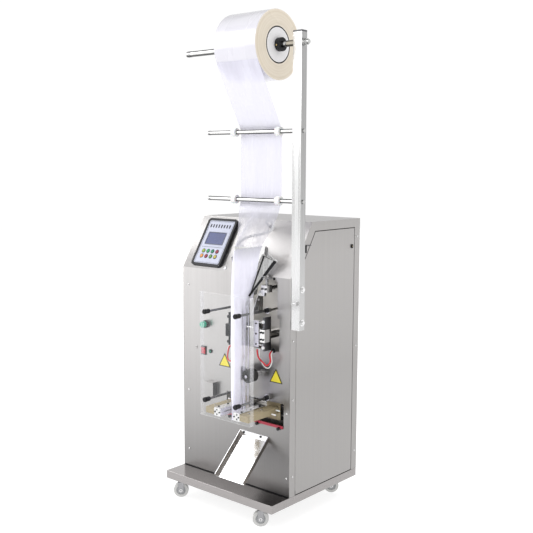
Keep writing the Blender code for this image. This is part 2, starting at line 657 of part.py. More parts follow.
def guide_rod(name, z):
    """A chromed rod, screwed to the mast, and a nylon collar under each edge of the film."""
    right = CABINET_RIGHT + GAP + MAST_WIDTH
    rod = cylinder(
        "guide_rod_" + name, "X", (0, ROD_Y, z), GUIDE_ROD_RADIUS, GUIDE_ROD_LEFT, CABINET_RIGHT,
        chrome("guide_rod_" + name),
    )
    join(
        rod,
        cylinder("stud", "X", (0, ROD_Y, z), 0.0040, CABINET_RIGHT - 0.01, right + 0.002, sides=12),
        cylinder("head", "X", (0, ROD_Y, z), 0.0070, right + GAP, right + 0.0045, sides=16),
    )
    bore = GUIDE_ROD_RADIUS + 0.0003
    for side, start in zip(("left", "right"), COLLAR_STARTS):
        end = start + COLLAR_LENGTH
        turned(
            "film_collar_%s_%s" % (name, side), (0.0, ROD_Y, z),
            [(start, bore), (start, COLLAR_RADIUS - 0.0005), (start + 0.001, COLLAR_RADIUS),
             (end - 0.001, COLLAR_RADIUS), (end, COLLAR_RADIUS - 0.0005), (end, bore)],
            plastic("film_collar_%s_%s" % (name, side), (0.88, 0.88, 0.90)), 24,
        )


# ---------------------------------------------------------------- film, shoulder and filling
def ease(value):
    value = min(1.0, max(0.0, value))
    return value * value * (3 - 2 * value)


def film_centre(z):
    """The film's middle in X at a height. It runs a little to the left above the upper rod."""
    return CENTRE_X + REEL_DRIFT * ease((z - UPPER_ROD_Z) / (ROLL_Z - UPPER_ROD_Z - 0.05))


def flat_row(y, z):
    return [(FILM_HALF * k / 8, y, z) for k in range(9)]


FOLDS = (  # height, y of the fold, half angle between the sides, radius of the fold
    (1.199, -0.0898, 90.0, 0.0065), (1.120, -0.1650, 60.0, 0.0065), (1.040, -0.2350, 33.4, 0.0065),
    (0.940, -0.2430, 19.9, 0.0075), (0.845, -0.2460, 6.9, 0.0092),
)


def fold_at(z):
    """The fold's y, half angle and radius at a height, between the stations in FOLDS."""
    for upper, lower in zip(FOLDS, FOLDS[1:]):
        if z >= lower[0]:
            break
    share = (upper[0] - z) / (upper[0] - lower[0])
    y, angle, radius = (first + share * (second - first) for first, second in zip(upper[1:], lower[1:]))
    return y, math.radians(angle), radius


def fold_row(z, inset=0.0, extra=0.0):
    """One half of the film at a height: round at its fold, then straight back to its edge."""
    y, angle, radius = fold_at(z)
    turn = math.pi / 2 - angle
    row = []
    for k in range(4):
        part = turn * k / 3
        small = radius - inset
        row.append((small * math.sin(part), y + radius - small * math.cos(part), z))
    start_x, start_y, _ = row[-1]
    straight = FILM_HALF - radius * turn + extra
    for k in range(1, 6):
        along = straight * k / 5
        row.append((start_x + along * math.sin(angle), start_y + along * math.cos(angle), z))
    return row


TUBE_STATIONS = (0.0, 0.03, 0.10, 0.25, 0.40, 0.55, 0.70, 0.84, 1.0)


def tube_row(z, radius, meet):
    """One half of the film tube: round at its front fold, and closed from the station meet on."""
    row = []
    for k in TUBE_STATIONS:
        swell = math.sqrt(max(0.0, 1 - (1 - k / 0.10) ** 2)) if k < 0.10 else 1.0
        narrow = 1 - ease((k - 0.40) / (meet - 0.40)) if k > 0.40 else 1.0
        half = max(0.0005 if k else 0.0, radius * swell * narrow)
        row.append((half, TUBE_FRONT + TUBE_DEPTH * k, z))
    return row


def sheet(shape, rows):
    """A surface through rows of half sections, mirrored about the film's centre plane."""
    grid = []
    for half in rows:
        left = [shape.verts.new((film_centre(z) - x, y, z)) for x, y, z in reversed(half[1:])]
        right = [shape.verts.new((film_centre(z) + x, y, z)) for x, y, z in half]
        grid.append(left + right)
    for upper, lower in zip(grid, grid[1:]):
        for a, b, c, d in zip(upper, upper[1:], lower[1:], lower):
            shape.faces.new((a, b, c, d))
    return grid


def film_web():
    """The web from the roll, behind both rods' collars, over the plough and down as a folded tube."""
    drop = ROLL_Z - UPPER_ROD_Z
    roll_reach, rod_reach = ROLL_RADIUS + 0.0006, COLLAR_RADIUS + 0.0005
    lean = math.asin((roll_reach + rod_reach) / drop)
    start = (ROD_Y - roll_reach * math.cos(lean), ROLL_Z - roll_reach * math.sin(lean))
    wraps = [(UPPER_ROD_Z, lean), (UPPER_ROD_Z, lean / 2), (UPPER_ROD_Z, 0.0)]
    wraps += [(LOWER_ROD_Z, -math.radians(turn)) for turn in (0, 14, 28, 40)]
    wraps = [(ROD_Y + rod_reach * math.cos(turn), z + rod_reach * math.sin(turn)) for z, turn in wraps]
    rows = [flat_row(*start)]
    rows.append(flat_row((start[0] + wraps[0][0]) / 2, (start[1] + wraps[0][1]) / 2))
    rows += [flat_row(*place) for place in wraps]
    rows += [fold_row(z) for z in (1.190, 1.165, 1.140, 1.120, 1.080, 1.040, 0.990, 0.940, 0.890, 0.845)]
    tube = (
        (0.810, 0.0098, 1.0), (0.778, 0.0095, 0.84), (0.660, 0.0095, 0.84), (0.600, 0.0095, 0.70), (0.588, 0.0088, 0.55),
        (0.532, 0.0088, 0.55), (0.505, 0.0095, 0.84), (0.478, 0.0075, 0.84), (0.456, 0.0030, 0.84),
        (0.447, 0.0005, 0.84), (0.400, 0.0005, 0.84),
    )
    rows += [tube_row(*values) for values in tube]
    shape = bmesh.new()
    sheet(shape, rows)
    mesh = bpy.data.meshes.new("film_web")
    shape.to_mesh(mesh)
    shape.free()
    web = add_mesh("film_web", mesh, material("film_web", (0.88, 0.87, 0.93), 0.0, 0.15, 0.55))
    thick = web.modifiers.new("thickness", "SOLIDIFY")
    thick.thickness = FILM_THICKNESS
    thick.offset = 0.0
    return web


def strip(shape, first, second):
    for a, b, c, d in zip(first, first[1:], second[1:], second):
        shape.faces.new((a, b, c, d))


def former():
    """The plough that the film folds over, the wing on each side, and the arm that holds them."""
    shape = bmesh.new()
    outside = sheet(shape, [fold_row(z, 0.0012, 0.016) for z in PLOUGH_ZS])
    inside = sheet(shape, [fold_row(z, 0.0030, 0.016) for z in PLOUGH_ZS])
    for row in (0, -1):
        strip(shape, outside[row], inside[row])
    for column in (0, -1):
        strip(shape, [row[column] for row in outside], [row[column] for row in inside])
    plough = from_bmesh("former", shape, chrome("former"))
    bar = (-0.138, -0.131)
    join(plough, block("cross_bar", (CENTRE_X - 0.078, CENTRE_X + 0.078), bar, (0.926, 0.938)))
    for side in (-1, 1):
        wing = bmesh.new()
        corners = ((0.062, -0.1420, 1.012), (0.1135, -0.1245, 0.990), (0.0220, -0.1770, 0.852))
        faces = []
        for back in (0.0, 0.0018):
            faces.append([wing.verts.new((CENTRE_X + side * x, y + back, z)) for x, y, z in corners])
            wing.faces.new(faces[-1])
        for a, b in ((0, 1), (1, 2), (2, 0)):
            wing.faces.new((faces[0][a], faces[0][b], faces[1][b], faces[1][a]))
        join(plough, from_bmesh("wing", wing))
        join(plough, block("wing_arm", mirrored((0.066, 0.077), side), (-0.154, bar[1] - 0.001), (0.9275, 0.9365)))
        lobe = [
            (0.052, 1.000), (0.054, 1.036), (0.058, 1.042), (0.064, 1.042), (0.069, 1.036), (0.072, 1.016),
            (0.114, 0.992), (0.110, 0.984), (0.064, 0.984),
        ]
        lobe = [(CENTRE_X + side * x, z) for x, z in lobe]
        join(plough, plate("lobe", "XZ", lobe, -0.1262, -0.1225))
    join(
        plough,
        block("upright", (0.144, 0.1535), (-0.1375, -0.1315), (0.880, 0.9370)),
        block("clamp", (0.138, 0.166), (-0.154, -0.124), (0.876, 0.902)),
        cylinder("support_rod", "Y", (0.153, 0, 0.889), 0.008, -0.130, PLATE_FRONT - GAP, sides=20),
        block("guide_tab", (0.1195, 0.145), (-0.144, -0.134), (0.860, 0.878)),
    )
    guide = plate(
        "guide_plate", "YZ", [(-0.186, 0.800), (-0.126, 0.800), (-0.126, 0.870), (-0.150, 0.870)], 0.1205, 0.1230
    )
    join(plough, guide)
    return cut(plough, cylinder("guide_hole", "X", (0, -0.152, 0.846), 0.0045, 0.11, 0.13, sides=16))


def fill_tube():
    """The steel tube that carries the liquid down inside the film, with its nozzle."""
    axis = (CENTRE_X, FILL_TUBE_Y, 0)
    tube = cylinder("fill_tube", "Z", axis, FILL_TUBE_RADIUS, 0.510, 1.030, chrome("fill_tube"))
    return join(tube, cylinder("nozzle", "Z", axis, 0.0050, 0.486, 0.512, sides=16))


def fill_hose():
    """The clear hose from the port on the slanted face, round and into the top of the fill tube."""
    start, tip = on_slant(0.060, 0.205, 0.0123), on_slant(0.062, 0.205, 0.032)
    end = Vector((CENTRE_X, FILL_TUBE_Y, 1.0303))
    path = smooth(
        [
            start, tip, (0.092, -0.050, 1.134), (0.128, -0.074, 1.122), (0.138, -0.105, 1.098), (0.115, -0.140, 1.086),
            (0.091, -0.174, 1.077), (0.079, -0.200, 1.062), end + Vector((0, 0, 0.016)), end + Vector((0, 0, 0.006)), end,
        ], 4
    )
    return wire("fill_hose", path, 0.0048, material("fill_hose", (0.85, 0.86, 0.86), 0.0, 0.2, 0.6), 2)


# ---------------------------------------------------------------- sealing and pulling
def vertical_sealer(name, side):
    """A heated bar on two nylon spacers, with the carrier that slides on the bulkhead's shaft."""
    low, high = 0.672, 0.771
    bar = block(
        "vertical_sealer_" + name, mirrored((SEALER_FACE, 0.062), side), (-0.168, -0.142), (low, high),
        chrome("vertical_sealer_" + name),
    )
    for z in (low + 0.008, high - 0.008):
        join(bar, cylinder("spacer", "X", (0, -0.154, z), 0.0050, *mirrored((0.061, 0.084), side), sides=16))
    join(
        bar,
        block("carrier", mirrored((0.083, 0.090), side), (-0.168, -0.130), (0.660, 0.786)),
        block("clamp", mirrored((0.074, 0.098), side), (-0.176, -0.148), (0.694, 0.742)),
        block("arm", mirrored((0.078, 0.098), side), (-0.149, -0.072), (0.706, 0.734)),
    )
    cut(bar, cylinder(
        "arm_bore", "X", (0, SEALER_SHAFT_Y, SEALER_SHAFT_Z), 0.0064, *mirrored((0.06, 0.12), side), sides=16
    ))
    return pivot(bar, (CENTRE_X + side * 0.088, SEALER_SHAFT_Y, SEALER_SHAFT_Z))


def pull_roller(name, side):
    """A rubber-covered roller that pulls the film down, with its shaft and drive gear."""
    x = CENTRE_X + side * ROLLER_X
    roller = cylinder(
        "pull_roller_" + name, "Y", (x, 0, NIP_Z), ROLLER_RADIUS, -0.190, -0.155, plastic("pull_roller_" + name, (0.02, 0.02, 0.02)),
        36,
    )
    join(
        roller,
        cylinder("shaft", "Y", (x, 0, NIP_Z), 0.0062, -0.198, -0.030, sides=16),
        cylinder("boss", "Y", (x, 0, NIP_Z), 0.0095, -0.156, -0.106, sides=20),
        gear("gear", x, 20, 0 if side > 0 else 0.5),
    )
    return pivot(roller, (x, -0.160, NIP_Z))


def gear(name, x, teeth, phase):
    """A spur gear on a roller's shaft. The two gears share one pitch circle's size and mesh."""
    outline = []
    for tooth in range(teeth):
        for turn, radius in ((-0.30, 0.0238), (-0.11, 0.0274), (0.11, 0.0274), (0.30, 0.0238)):
            angle = 2 * math.pi * (tooth + phase + turn) / teeth
            outline.append((x + radius * math.cos(angle), NIP_Z + radius * math.sin(angle)))
    return plate(name, "XZ", outline, -0.050, -0.040)


def jaw(name, side):
    """One horizontal jaw: a heated steel bar on a phenolic bar that its carriage slides in X."""
    bar = block(
        "jaw_bar_" + name, mirrored((JAW_FACE, 0.0640), side), (-0.274, -0.130), (JAW_Z - 0.0155, JAW_Z + 0.0155),
        steel("jaw_bar_" + name),
    )
    for z in (JAW_Z - 0.0085, JAW_Z + 0.0085):
        hole_x = CENTRE_X + side * 0.050
        cut(bar, cylinder("heater_hole", "Y", (hole_x, 0, z), 0.0035, -0.29, -0.262, sides=12))
    cut(bar, block("knife_slot", mirrored((JAW_FACE - 0.01, 0.0525), side), (-0.252, -0.148), (JAW_Z - 0.0015, JAW_Z + 0.0015)))
    pivot(bar, (CENTRE_X + side * JAW_FACE, -0.200, JAW_Z))
    carriage = block(
        "jaw_carriage_" + name, mirrored((0.0643, 0.107), side), (-0.274, -0.098), (JAW_Z - 0.0115, JAW_Z + 0.0115),
        material("jaw_carriage_" + name, (0.36, 0.30, 0.20)),
    )
    join(carriage, block("slide_block", mirrored((0.045, 0.112), side), (-0.100, -0.068), (0.388, 0.457)))
    for z in JAW_SHAFT_ZS:
        cut(carriage, cylinder("slide_bore", "X", (0, JAW_SHAFT_Y, z), 0.0064, *mirrored((0.02, 0.14), side), sides=16))
    return pivot(carriage, (CENTRE_X + side * 0.08, JAW_SHAFT_Y, JAW_Z))


def cutter_knife():
    """The blade that parts the sachets, in the right jaw's slot."""
    knife = block(
        "cutter_knife", mirrored((JAW_FACE + 0.002, 0.0505), 1), (-0.247, -0.153), (JAW_Z - 0.0008, JAW_Z + 0.0008),
        chrome("cutter_knife"),
    )
    return pivot(knife, (CENTRE_X + 0.045, -0.200, JAW_Z))


# ---------------------------------------------------------------- chute, guard and controls
def discharge_chute():
    """A polished channel, screwed to the front sheet by its top flange."""
    top, lip = Vector((CABINET_FRONT - GAP, 0.300)), Vector((-0.2545, 0.170))
    run = (lip - top).normalized()
    normal = Vector((run.y, -run.x))
    half, wall, depth = 0.0715, 0.002, 0.016
    outside = [top, lip, lip + depth * normal, Vector((top.x, top.y + depth * 1.4))]
    chute = plate(
        "discharge_chute", "YZ", [tuple(p) for p in outside], CENTRE_X - half, CENTRE_X + half, chrome("discharge_chute")
    )
    inside = [top - 0.05 * run, lip + 0.05 * run, lip + 0.05 * run + 0.05 * normal, top - 0.05 * run + 0.08 * normal]
    inside = [tuple(p + wall * normal) for p in inside]
    cut(chute, plate("chute_channel", "YZ", inside, CENTRE_X - half + wall, CENTRE_X + half - wall))
    flange = (top.y - 0.001, top.y + 0.021)
    join(chute, block("chute_flange", (CENTRE_X - half, CENTRE_X + half), (top.x - wall, top.x), flange))
    for x in (CENTRE_X - 0.052, CENTRE_X + 0.034):
        join(chute, cylinder("chute_screw", "Y", (x, 0, 0.314), 0.0045, top.x - 0.0045, top.x - 0.001, sides=14))
    return chute


def front_guard():
    """The clear sheet in front of the moving parts, with both its sides bent back."""
    low, high = CENTRE_X - 0.0015 - GUARD_HALF, CENTRE_X - 0.0015 + GUARD_HALF
    front, back, rear = GUARD_FRONT, GUARD_FRONT + GUARD_SHEET, GUARD_FRONT + GUARD_FLANGE
    outline = [
        (low, rear), (low, front + 0.002), (low + 0.002, front), (high - 0.002, front), (high, front + 0.002), (high, rear),
        (high - GUARD_SHEET, rear), (high - GUARD_SHEET, back), (low + GUARD_SHEET, back), (low + GUARD_SHEET, rear),
    ]
    guard = plate("front_guard", "XY", outline, *GUARD_Z, material("front_guard", (0.93, 0.94, 0.94), 0.0, 0.05, 0.25))
    for dx in (-POST_DX, POST_DX):
        for z in POST_ZS:
            cut(guard, cylinder("guard_hole", "Y", (CENTRE_X + dx - 0.0015, 0, z), 0.0034, -0.30, -0.27, sides=12))
    return guard


def control_panel():
    """The black housing on the slanted face, with its recessed face and a pocket for each key."""
    base = slant_basis(GAP)
    housing = plate(
        "control_panel", "XY", rounded(PANEL_X, PANEL_S, 0.014), 0.0, PANEL_DEPTH,
        plastic("control_panel", (0.02, 0.02, 0.022)), base,
    )
    face = rounded((PANEL_X[0] + 0.011, PANEL_X[1] - 0.010), (PANEL_S[0] + 0.0095, PANEL_S[1] - 0.010), 0.006)
    cut(housing, plate("panel_recess", "XY", face, PANEL_DEPTH - 0.0012, PANEL_DEPTH + 0.01, placed=base))
    display = rounded((-0.229, -0.135), (0.104, 0.1555), 0.002, 2)
    cut(housing, plate("display_recess", "XY", display, PANEL_DEPTH - 0.0022, PANEL_DEPTH + 0.01, placed=base))
    colours = {
        "upper": ((0.25, 0.30, 0.04), (0.02, 0.30, 0.10), (0.02, 0.12, 0.06), (0.25, 0.02, 0.03)),
        "lower": ((0.65, 0.20, 0.03), (0.25, 0.02, 0.03), (0.03, 0.30, 0.08), (0.35, 0.35, 0.05)),
    }
    for row, s in KEY_ROWS:
        for number, x in enumerate(KEY_XS):
            pocket = cylinder("key_pocket", "Z", (x, s, 0), KEY_RADIUS + 0.0005, PANEL_DEPTH - 0.0062, PANEL_DEPTH + 0.01)
            pocket.data.transform(base)
            cut(housing, pocket)
            name = "key_%s_%d" % (row, number + 1)
            key = cylinder(
                name, "Z", (x, s, 0), KEY_RADIUS, PANEL_DEPTH - 0.0045, PANEL_DEPTH + 0.0008,
                plastic(name, colours[row][number]), 20,
            )
            key.data.transform(base)
            pivot(key, on_slant(x, s, PANEL_DEPTH))
    return housing


def push_buttons():
    """The green start button, the small reset button and the mains rocker."""
    start = cylinder(
        "start_button", "Y", (-0.179, 0, 0.7126), 0.0122, -0.146, -0.117, plastic("start_button", (0.02, 0.45, 0.25))
    )
    pivot(start, (-0.179, CABINET_FRONT, 0.7126))
    reset = cylinder(
        "reset_button", "Y", (-0.155, 0, 0.6055), 0.0055, -0.127, -0.117, plastic("reset_button", (0.02, 0.20, 0.12)), 16
    )
    pivot(reset, (-0.155, CABINET_FRONT, 0.6055))
    level = [(-0.0065, -0.013), (-0.0075, -0.011), (-0.0045, 0.0), (-0.0075, 0.011), (-0.0065, 0.013), (0.0035, 0.0105),
             (0.0065, 0.0), (0.0035, -0.0105)]
    tilt = math.radians(ROCKER_TILT)
    profile = [
        (
            CABINET_FRONT + y * math.cos(tilt) - z * math.sin(tilt),
            0.6045 + y * math.sin(tilt) + z * math.cos(tilt),
        )
        for y, z in level
    ]
    rocker = plate(
        "power_rocker", "YZ", profile, -0.2029, -0.1831, plastic("power_rocker", (0.60, 0.02, 0.05))
    )
    pivot(rocker, (-0.193, CABINET_FRONT, 0.6045))


# ---------------------------------------------------------------- the machine
def build():
    base_tray()
    for end, y in (("front", TRAY_FRONT + CASTER_INSET[1]), ("rear", CABINET_REAR - CASTER_INSET[1])):
        for side, x in (("left", CABINET_LEFT + CASTER_INSET[0]), ("right", CABINET_RIGHT - CASTER_INSET[0])):
            caster(end + "_" + side, x, y)
    cabinet_body()
    front_panel()
    rear_panel()
    power_inlet()
    side_door()
    door_lock()
    mechanism_plate()
    cam_shaft()
    gear_motor()
    dosing_pump()
    control_box()
    mast()
    roll_shaft()
    reel()
    guide_rod("upper", UPPER_ROD_Z)
    guide_rod("lower", LOWER_ROD_Z)
    film_web()
    former()
    fill_tube()
    fill_hose()
    for name, side in (("left", -1), ("right", 1)):
        vertical_sealer(name, side)
        pull_roller(name, side)
        jaw(name, side)
    cutter_knife()
    discharge_chute()
    front_guard()
    control_panel()
    push_buttons()


build()
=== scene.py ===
"""The vertical form fill sealer's visual model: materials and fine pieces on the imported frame."""

import math

import bmesh
import bpy
from mathutils import Matrix, Vector


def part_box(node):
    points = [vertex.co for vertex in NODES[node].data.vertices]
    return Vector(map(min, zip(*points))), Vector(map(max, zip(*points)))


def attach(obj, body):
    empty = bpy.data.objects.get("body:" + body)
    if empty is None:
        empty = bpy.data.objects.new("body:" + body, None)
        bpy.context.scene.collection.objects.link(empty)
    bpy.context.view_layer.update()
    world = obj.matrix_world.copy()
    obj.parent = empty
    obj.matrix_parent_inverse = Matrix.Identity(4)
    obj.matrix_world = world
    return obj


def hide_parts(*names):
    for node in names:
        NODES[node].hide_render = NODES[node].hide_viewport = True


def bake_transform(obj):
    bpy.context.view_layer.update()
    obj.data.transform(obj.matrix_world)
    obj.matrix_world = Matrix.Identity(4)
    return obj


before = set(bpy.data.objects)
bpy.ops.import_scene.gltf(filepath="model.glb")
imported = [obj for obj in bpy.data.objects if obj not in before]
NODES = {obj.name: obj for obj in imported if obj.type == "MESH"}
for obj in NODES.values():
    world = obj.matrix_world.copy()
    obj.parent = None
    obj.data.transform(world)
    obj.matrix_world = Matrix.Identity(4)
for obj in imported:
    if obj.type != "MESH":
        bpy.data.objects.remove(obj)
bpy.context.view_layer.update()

# ---- places, from the frame
(LEFT, FRONT, _), (RIGHT, _, TOP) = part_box("cabinet_body")
TRAY_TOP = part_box("base_tray")[1].z
POST_MIDDLE = (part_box("front_guard")[0].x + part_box("front_guard")[1].x) / 2
CENTRE = POST_MIDDLE + 0.0015  # the film tube's middle across
ROLL_AXIS, LOWER_ROD, UPPER_ROD = (
    (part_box(name)[0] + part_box(name)[1]) / 2 for name in ("film_roll", "guide_rod_lower", "guide_rod_upper")
)
KNEE = 0.931  # the height where the front sheet bends into the slant
SETBACK = 0.124  # how far the slant's top stands behind the front
SLANT = math.atan2(SETBACK, TOP - KNEE)
SLANT_UP = Vector((0, math.sin(SLANT), math.cos(SLANT)))
SLANT_OUT = Vector((0, -math.cos(SLANT), math.sin(SLANT)))
FORE, SIDEWAYS = (0, -1, 0), (1, 0, 0)


def linked(name, data):
    """A new object in the scene."""
    made = bpy.data.objects.new(name, data)
    bpy.context.scene.collection.objects.link(made)
    return made


# ---- camera
def camera():
    """The photo's camera: its turn in degrees, its place and its lens."""
    yaw, pitch, roll = (math.radians(value) for value in (40.7297, 7.0572, 0.2249))
    eye, lens, sensor = (2.1739, -2.4892, 1.3545), 57.69, 36.0
    back = Vector((math.sin(yaw) * math.cos(pitch), -math.cos(yaw) * math.cos(pitch), math.sin(pitch)))
    right = Vector((0, 0, 1)).cross(back).normalized()
    level = Matrix((right, back.cross(right), back)).transposed()
    data = bpy.data.cameras.new("camera")
    data.lens, data.sensor_width = lens, sensor
    made = linked("camera", data)
    made.matrix_world = Matrix.Translation(eye) @ (level @ Matrix.Rotation(roll, 3, "Z")).to_4x4()
    bpy.context.scene.camera = made


camera()


# ---- materials
def material(name, **values):
    """A Principled material, and its node tree and shader."""
    made = bpy.data.materials.new(name)
    made.use_nodes = True
    shader = made.node_tree.nodes["Principled BSDF"]
    for socket, value in values.items():
        socket = socket.replace("_", " ").title().replace("Ior", "IOR")
        shader.inputs[socket].default_value = (*value, 1.0) if isinstance(value, tuple) else value
    return made, made.node_tree, shader


def add(tree, kind, **inputs):
    """A node of this kind, with sockets linked to its inputs and numbers set. i0 is the first input."""
    node = tree.nodes.new("ShaderNode" + kind)
    for name, value in inputs.items():
        if name in node.bl_rna.properties:
            setattr(node, name, value)
            continue
        socket = node.inputs[int(name[1:])] if name[0] == "i" and name[1:].isdigit() else node.inputs[name]
        if isinstance(value, bpy.types.NodeSocket):
            tree.links.new(value, socket)
        else:
            socket.default_value = value
    return node


def calc(tree, operation, *values, **settings):
    """One step of arithmetic on sockets and numbers."""
    inputs = {"i%d" % k: value for k, value in enumerate(values)}
    return add(tree, "Math", operation=operation, **inputs, **settings).outputs[0]


def axes(tree, normal=False):
    """The x, y and z of a point in the piece's own coordinates, or of the surface's normal."""
    source = add(tree, "NewGeometry").outputs["Normal"] if normal else add(tree, "TexCoord").outputs["Object"]
    return add(tree, "SeparateXYZ", Vector=source).outputs


def noise(tree, scale, stretch=(1, 1, 1), detail=3.0):
    """A noise over the piece's own coordinates, stretched along one way."""
    where = add(tree, "TexCoord").outputs["Object"]
    spread = add(tree, "Mapping", Vector=where, Scale=tuple(scale * s for s in stretch)).outputs[0]
    return add(tree, "TexNoise", Vector=spread, Scale=1.0, Detail=detail).outputs["Fac"]


def ramp(tree, value, low, high, start=0.3, end=0.7):
    """A value mapped from start..end to low..high."""
    return add(tree, "MapRange", i0=value, i1=start, i2=end, i3=low, i4=high).outputs[0]


def tinted(tree, value, dark, light):
    """A colour between two colours."""
    return add(tree, "Mix", data_type="RGBA", i0=value, i6=(*dark, 1.0), i7=(*light, 1.0)).outputs[2]


def shade(tree, colour, factor):
    """A colour made lighter or darker by a factor."""
    return add(tree, "VectorMath", operation="SCALE", i0=colour, Scale=factor).outputs[0]


def feed(tree, shader, **sockets):
    """Links sockets to the shader's inputs of those names."""
    for name, socket in sockets.items():
        tree.links.new(socket, shader.inputs[name.replace("_", " ").title()])


def bump(tree, shader, height, strength, distance):
    """Gives the shader a relief from a height."""
    relief = add(tree, "Bump", Height=height, Strength=strength, Distance=distance)
    feed(tree, shader, normal=relief.outputs[0])


def scaled(colour, factor):
    """A colour's numbers times a factor."""
    return tuple(min(1.0, channel * factor) for channel in colour)


def brushed(name, colour, grain, rough=0.30, low=1.0, right=1.0, rise=(0.10, 0.95)):
    """Brushed steel: fine lines and broad streaks along the grain, with painted light and shade: its colour is
    scaled from low up to 1 over the heights of rise, and from 1 to right across the machine; a factor under 1
    is painted shade, over 1 painted light."""
    stretch = tuple(0.012 if axis == grain else 1.0 for axis in "XYZ")
    made, tree, shader = material(name, metallic=1.0)
    lines, streaks = noise(tree, 1400.0, stretch, 2.0), noise(tree, 150.0, stretch, 4.0)
    both = calc(tree, "MULTIPLY_ADD", lines, 0.40, ramp(tree, streaks, 0.0, 0.60))
    where = axes(tree)
    # painted light and shade: the colour is scaled by height and across the machine
    height, across = ramp(tree, where[2], low, 1.0, *rise), ramp(tree, where[0], 1.0, right, -0.25, 0.25)
    plain = tinted(tree, both, scaled(colour, 0.93), scaled(colour, 1.05))
    feed(tree, shader, base_color=shade(tree, plain, calc(tree, "MULTIPLY", height, across)),
         roughness=ramp(tree, both, rough - 0.05, rough + 0.07, 0.2, 0.8))
    bump(tree, shader, lines, 0.12, 0.0004)
    return made


def polished(name, colour=(0.80, 0.80, 0.80), rough=0.10, dull=1.0):
    """Polished or plated metal with faint marks, and painted shade making it darker on its top and its
    underside.
    """
    made, tree, shader = material(name, metallic=1.0)
    marks = noise(tree, 60.0)
    # painted shade: darker where the surface faces up or down
    upright = calc(tree, "ABSOLUTE", axes(tree, normal=True)[2])
    plain = tinted(tree, marks, scaled(colour, 0.92), colour)
    feed(tree, shader, base_color=shade(tree, plain, ramp(tree, upright, 1.0, dull, 0.30, 0.60)),
         roughness=ramp(tree, marks, rough, rough + 0.08))
    return made


def moulded(name, colour, rough=0.40, grain=900.0, depth=0.15, **values):
    """Moulded plastic or rubber: a fine skin grain, and a little unevenness in colour."""
    made, tree, shader = material(name, **values)
    skin, clouds = noise(tree, grain, detail=1.0), noise(tree, 25.0)
    feed(tree, shader, base_color=tinted(tree, clouds, scaled(colour, 0.88), scaled(colour, 1.08)),
         roughness=ramp(tree, clouds, rough - 0.04, rough + 0.06))
    bump(tree, shader, skin, depth, 0.0003)
    return made


def wound_film():
    """The reel: rings of wound film on its ends, and glossy clear layers round it, with painted shade
    darkening them towards the top.
    """
    made, tree, shader = material("wound_film", coat_weight=0.35, coat_roughness=0.12)
    where, normal = axes(tree), axes(tree, normal=True)
    from_axis = add(tree, "CombineXYZ", X=calc(tree, "SUBTRACT", where[1], ROLL_AXIS.y),
                    Y=calc(tree, "SUBTRACT", where[2], ROLL_AXIS.z)).outputs[0]
    radius = add(tree, "VectorMath", operation="LENGTH", i0=from_axis).outputs["Value"]
    rings, bands = (
        add(tree, "TexNoise", noise_dimensions="1D", W=radius, Scale=scale, Detail=detail).outputs["Fac"]
        for scale, detail in ((900.0, 4.0), (110.0, 2.0))
    )
    layers = calc(tree, "MULTIPLY_ADD", rings, 0.5, ramp(tree, bands, 0.0, 0.5))
    end = tinted(tree, layers, (0.66, 0.57, 0.44), (0.86, 0.79, 0.68))
    wrap = noise(tree, 14.0, (1.0, 0.25, 0.25), 4.0)
    plain = tinted(tree, wrap, (0.65, 0.64, 0.70), (0.74, 0.73, 0.79))
    # painted shade: the wound side is darker where it faces up
    side = shade(tree, plain, ramp(tree, normal[2], 1.0, 0.42, 0.30, 0.92))
    facing = ramp(tree, calc(tree, "ABSOLUTE", normal[0]), 0.0, 1.0, 0.4, 0.6)
    feed(tree, shader, base_color=add(tree, "Mix", data_type="RGBA", i0=facing, i6=side, i7=end).outputs[2],
         roughness=ramp(tree, wrap, 0.16, 0.34))
    bump(tree, shader, wrap, 0.25, 0.002)
    return made


def clear_film():
    """Thin milky film with soft creases, painted lighter and darker by height as painted light and shade:
    clearest on the tube's rear and on the folded wings.
    """
    made, tree, shader = material("clear_film", coat_weight=0.25, coat_roughness=0.1)
    creases, pleats = noise(tree, 26.0, (1.0, 0.6, 0.10), 4.0), noise(tree, 110.0, (1.0, 1.0, 0.04), 3.0)
    y, z = axes(tree)[1:3]
    wing = add(tree, "Attribute", attribute_name="wing").outputs["Fac"]
    plain = tinted(tree, creases, (0.68, 0.67, 0.78), (0.78, 0.77, 0.87))
    # painted light and shade by height: lighter below the slope over the plough, darker on that upward-facing
    # slope, and plain again above it
    painted_light_and_shade = calc(tree, "MULTIPLY", ramp(tree, z, 1.48, 0.64, 0.990, 1.060),
                ramp(tree, z, 1.0, 1.58, 1.14, 1.20))
    tube = calc(tree, "MULTIPLY", ramp(tree, z, 1.0, 0.0, 0.80, 0.90),
                ramp(tree, y, 0.0, 1.0, -0.215, -0.195))
    fold = calc(tree, "MULTIPLY", ramp(tree, z, 0.0, 1.0, 0.86, 0.90), ramp(tree, z, 0.60, 0.0, 1.11, 1.19))
    flap = calc(tree, "MULTIPLY", fold, ramp(tree, wing, 0.35, 1.60, 0.28, 0.52), use_clamp=True)
    clear = calc(tree, "MAXIMUM", tube, calc(tree, "MULTIPLY", flap, ramp(tree, z, 0.35, 1.0, 0.98, 1.06)))
    thin = add(tree, "Mix", data_type="FLOAT", i0=tube, i2=ramp(tree, creases, 0.22, 0.62),
               i3=ramp(tree, pleats, 0.10, 0.75, 0.40, 0.65)).outputs[0]
    thick = ramp(tree, creases, 0.74, 0.90)
    feed(tree, shader, base_color=shade(tree, plain, painted_light_and_shade), roughness=ramp(tree, creases, 0.18, 0.32),
         alpha=add(tree, "Mix", data_type="FLOAT", i0=clear, i2=thick, i3=thin).outputs[0])
    bump(tree, shader, creases, 0.35, 0.003)
    return made


